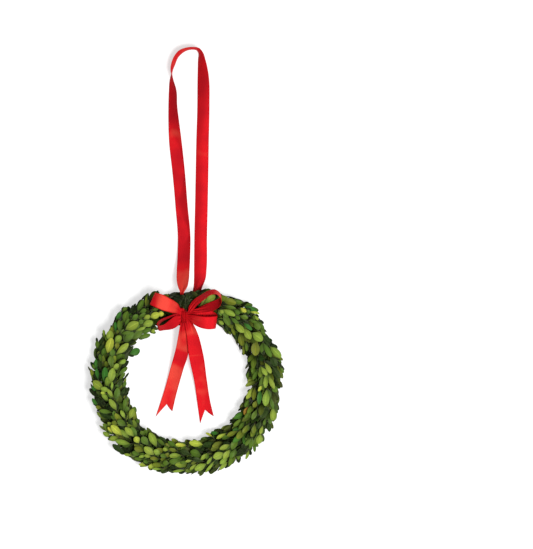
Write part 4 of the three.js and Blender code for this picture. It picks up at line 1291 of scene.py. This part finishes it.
def in_columns(rows, u, notch):
    """The edges at each point of a strip, and how far along it is, with the end cut to a notch."""
    run = distances(rows.mean(1))
    late = np.clip((run / run[-1] - NOTCH_START) / (1 - NOTCH_START), 0, 1)
    at = run[:, None] - late[:, None] * notch * (1 - abs(u))
    made = [np.interp(at, run, values) for values in rows.reshape(len(rows), -1).T]
    return np.stack(made, -1).reshape(*at.shape, 2, 3), at


# The knot's band is an arch over the bow's middle, drawn in to this half width.
KNOT_SPREAD = np.array([0.0, 7.4, 4.1])
KNOT_HALF_WIDTH = np.array([2.5, 0.0, 0.0])
KNOT_TURN = np.radians(np.linspace(-22, 202, 15))


def make_sheet(surface, name, node):
    piece = surface.piece(name, [SATIN], "ribbon", node)


def make_ribbons():
    hanger = Surface()
    length = add_ribbon(hanger, HANGER_ROUTE, crown=1.5, shine=HANGER_SHINE)
    make_sheet(hanger, "hanger_satin", "hanger_ribbon")

    bow = Surface()
    length = 0.0
    loops = [
        (UPPER_LEFT_LOOP, UPPER_LEFT_SHINE),
        (LOWER_RIGHT_LOOP, LOWER_RIGHT_SHINE),
        (UPPER_RIGHT_LOOP, UPPER_RIGHT_SHINE),
        (LOWER_LEFT_LOOP, LOWER_LEFT_SHINE),
    ]
    for number, (loop, shine) in enumerate(loops):
        pairs = np.reshape([loop[0], *loop, loop[-1]], (-1, 2, 3))
        pairs[[0, -1], :, 0] = KNOT_CENTRE[0]
        length += add_ribbon(bow, pairs, pleats=2.5, phase=number, shine=shine)
    length += add_ribbon(bow, GATHERED_MIDDLE, pleats=3)
    tails = [(LEFT_TAIL, LEFT_TAIL_SHINE), (RIGHT_TAIL, RIGHT_TAIL_SHINE)]
    for number, (tail, shine) in enumerate(tails):
        length += add_ribbon(bow, tail, crown=0.4, notch=NOTCH_DEPTH, phase=number, shine=shine)
    make_sheet(bow, "bow_satin", "bow")

    knot = Surface()
    arch = np.stack([0 * KNOT_TURN, np.cos(KNOT_TURN), np.sin(KNOT_TURN)], 1)
    middles = KNOT_CENTRE + KNOT_SPREAD * arch
    pairs = np.stack([middles + KNOT_HALF_WIDTH, middles - KNOT_HALF_WIDTH], 1)
    length = add_ribbon(knot, pairs, pleats=2.5, fullness=1.0)
    make_sheet(knot, "knot_satin", "bow_knot")


# Floor, light and camera.
FLOOR_SIZE = 6.0
FLOOR_DROP = 0.0002
FLOOR_GREY = 0.5
FLOOR_GLOW = 0.6
SKY_STRENGTH = 0.28
KEY_PLACE = (0.85, -0.6, 2.6)
KEY_SIZE = 0.9
KEY_POWER = 80.0
SENSOR_HEIGHT = 24.0


def make_stage():
    floor = bpy.data.meshes.new("floor")
    half = FLOOR_SIZE / 2
    corners = [(-half, -half, 0), (half, -half, 0), (half, half, 0), (-half, half, 0)]
    floor.from_pydata(corners, [], [(0, 1, 2, 3)])
    g = Graph("floor_paper")
    g.shade(Base_Color=(FLOOR_GREY, FLOOR_GREY, FLOOR_GREY, 1), Roughness=0.9)
    g.shade(Emission_Color=(1, 1, 1, 1), Emission_Strength=FLOOR_GLOW)
    floor.materials.append(g.material)
    made = put("floor", floor)
    made.location.z = -FLOOR_DROP
    made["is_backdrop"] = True


def make_lights():
    world = bpy.data.worlds.new("studio")
    world.use_nodes = True
    sky = world.node_tree.nodes["Background"].inputs
    sky["Color"].default_value = (1, 1, 1, 1)
    sky["Strength"].default_value = SKY_STRENGTH
    bpy.context.scene.world = world
    light = bpy.data.lights.new("key", "AREA")
    light.shape = "DISK"
    light.size = KEY_SIZE
    light.energy = KEY_POWER
    key = put("key", light)
    key.location = KEY_PLACE
    key.rotation_euler = Vector(key.location).to_track_quat("Z", "Y").to_euler()


def make_camera():
    camera = bpy.data.cameras.new("camera")
    camera.sensor_fit = "VERTICAL"
    camera.sensor_height = SENSOR_HEIGHT
    camera.lens = SENSOR_HEIGHT * CAMERA_HEIGHT / (IMAGE[1] * MM_PER_PIXEL)
    made = put("camera", camera)
    made.location = (CAMERA_PLACE + CENTRE + UP * CAMERA_HEIGHT) / MM
    bpy.context.scene.camera = made


make_foliage()
make_wires()
make_ribbons()
make_stage()
make_lights()
make_camera()
bpy.context.scene.view_settings.view_transform = "Standard"

sizes = {"cad": cad_bounds, "visual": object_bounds()}
{key: [list(corner) for corner in value] for key, value in sizes.items()}
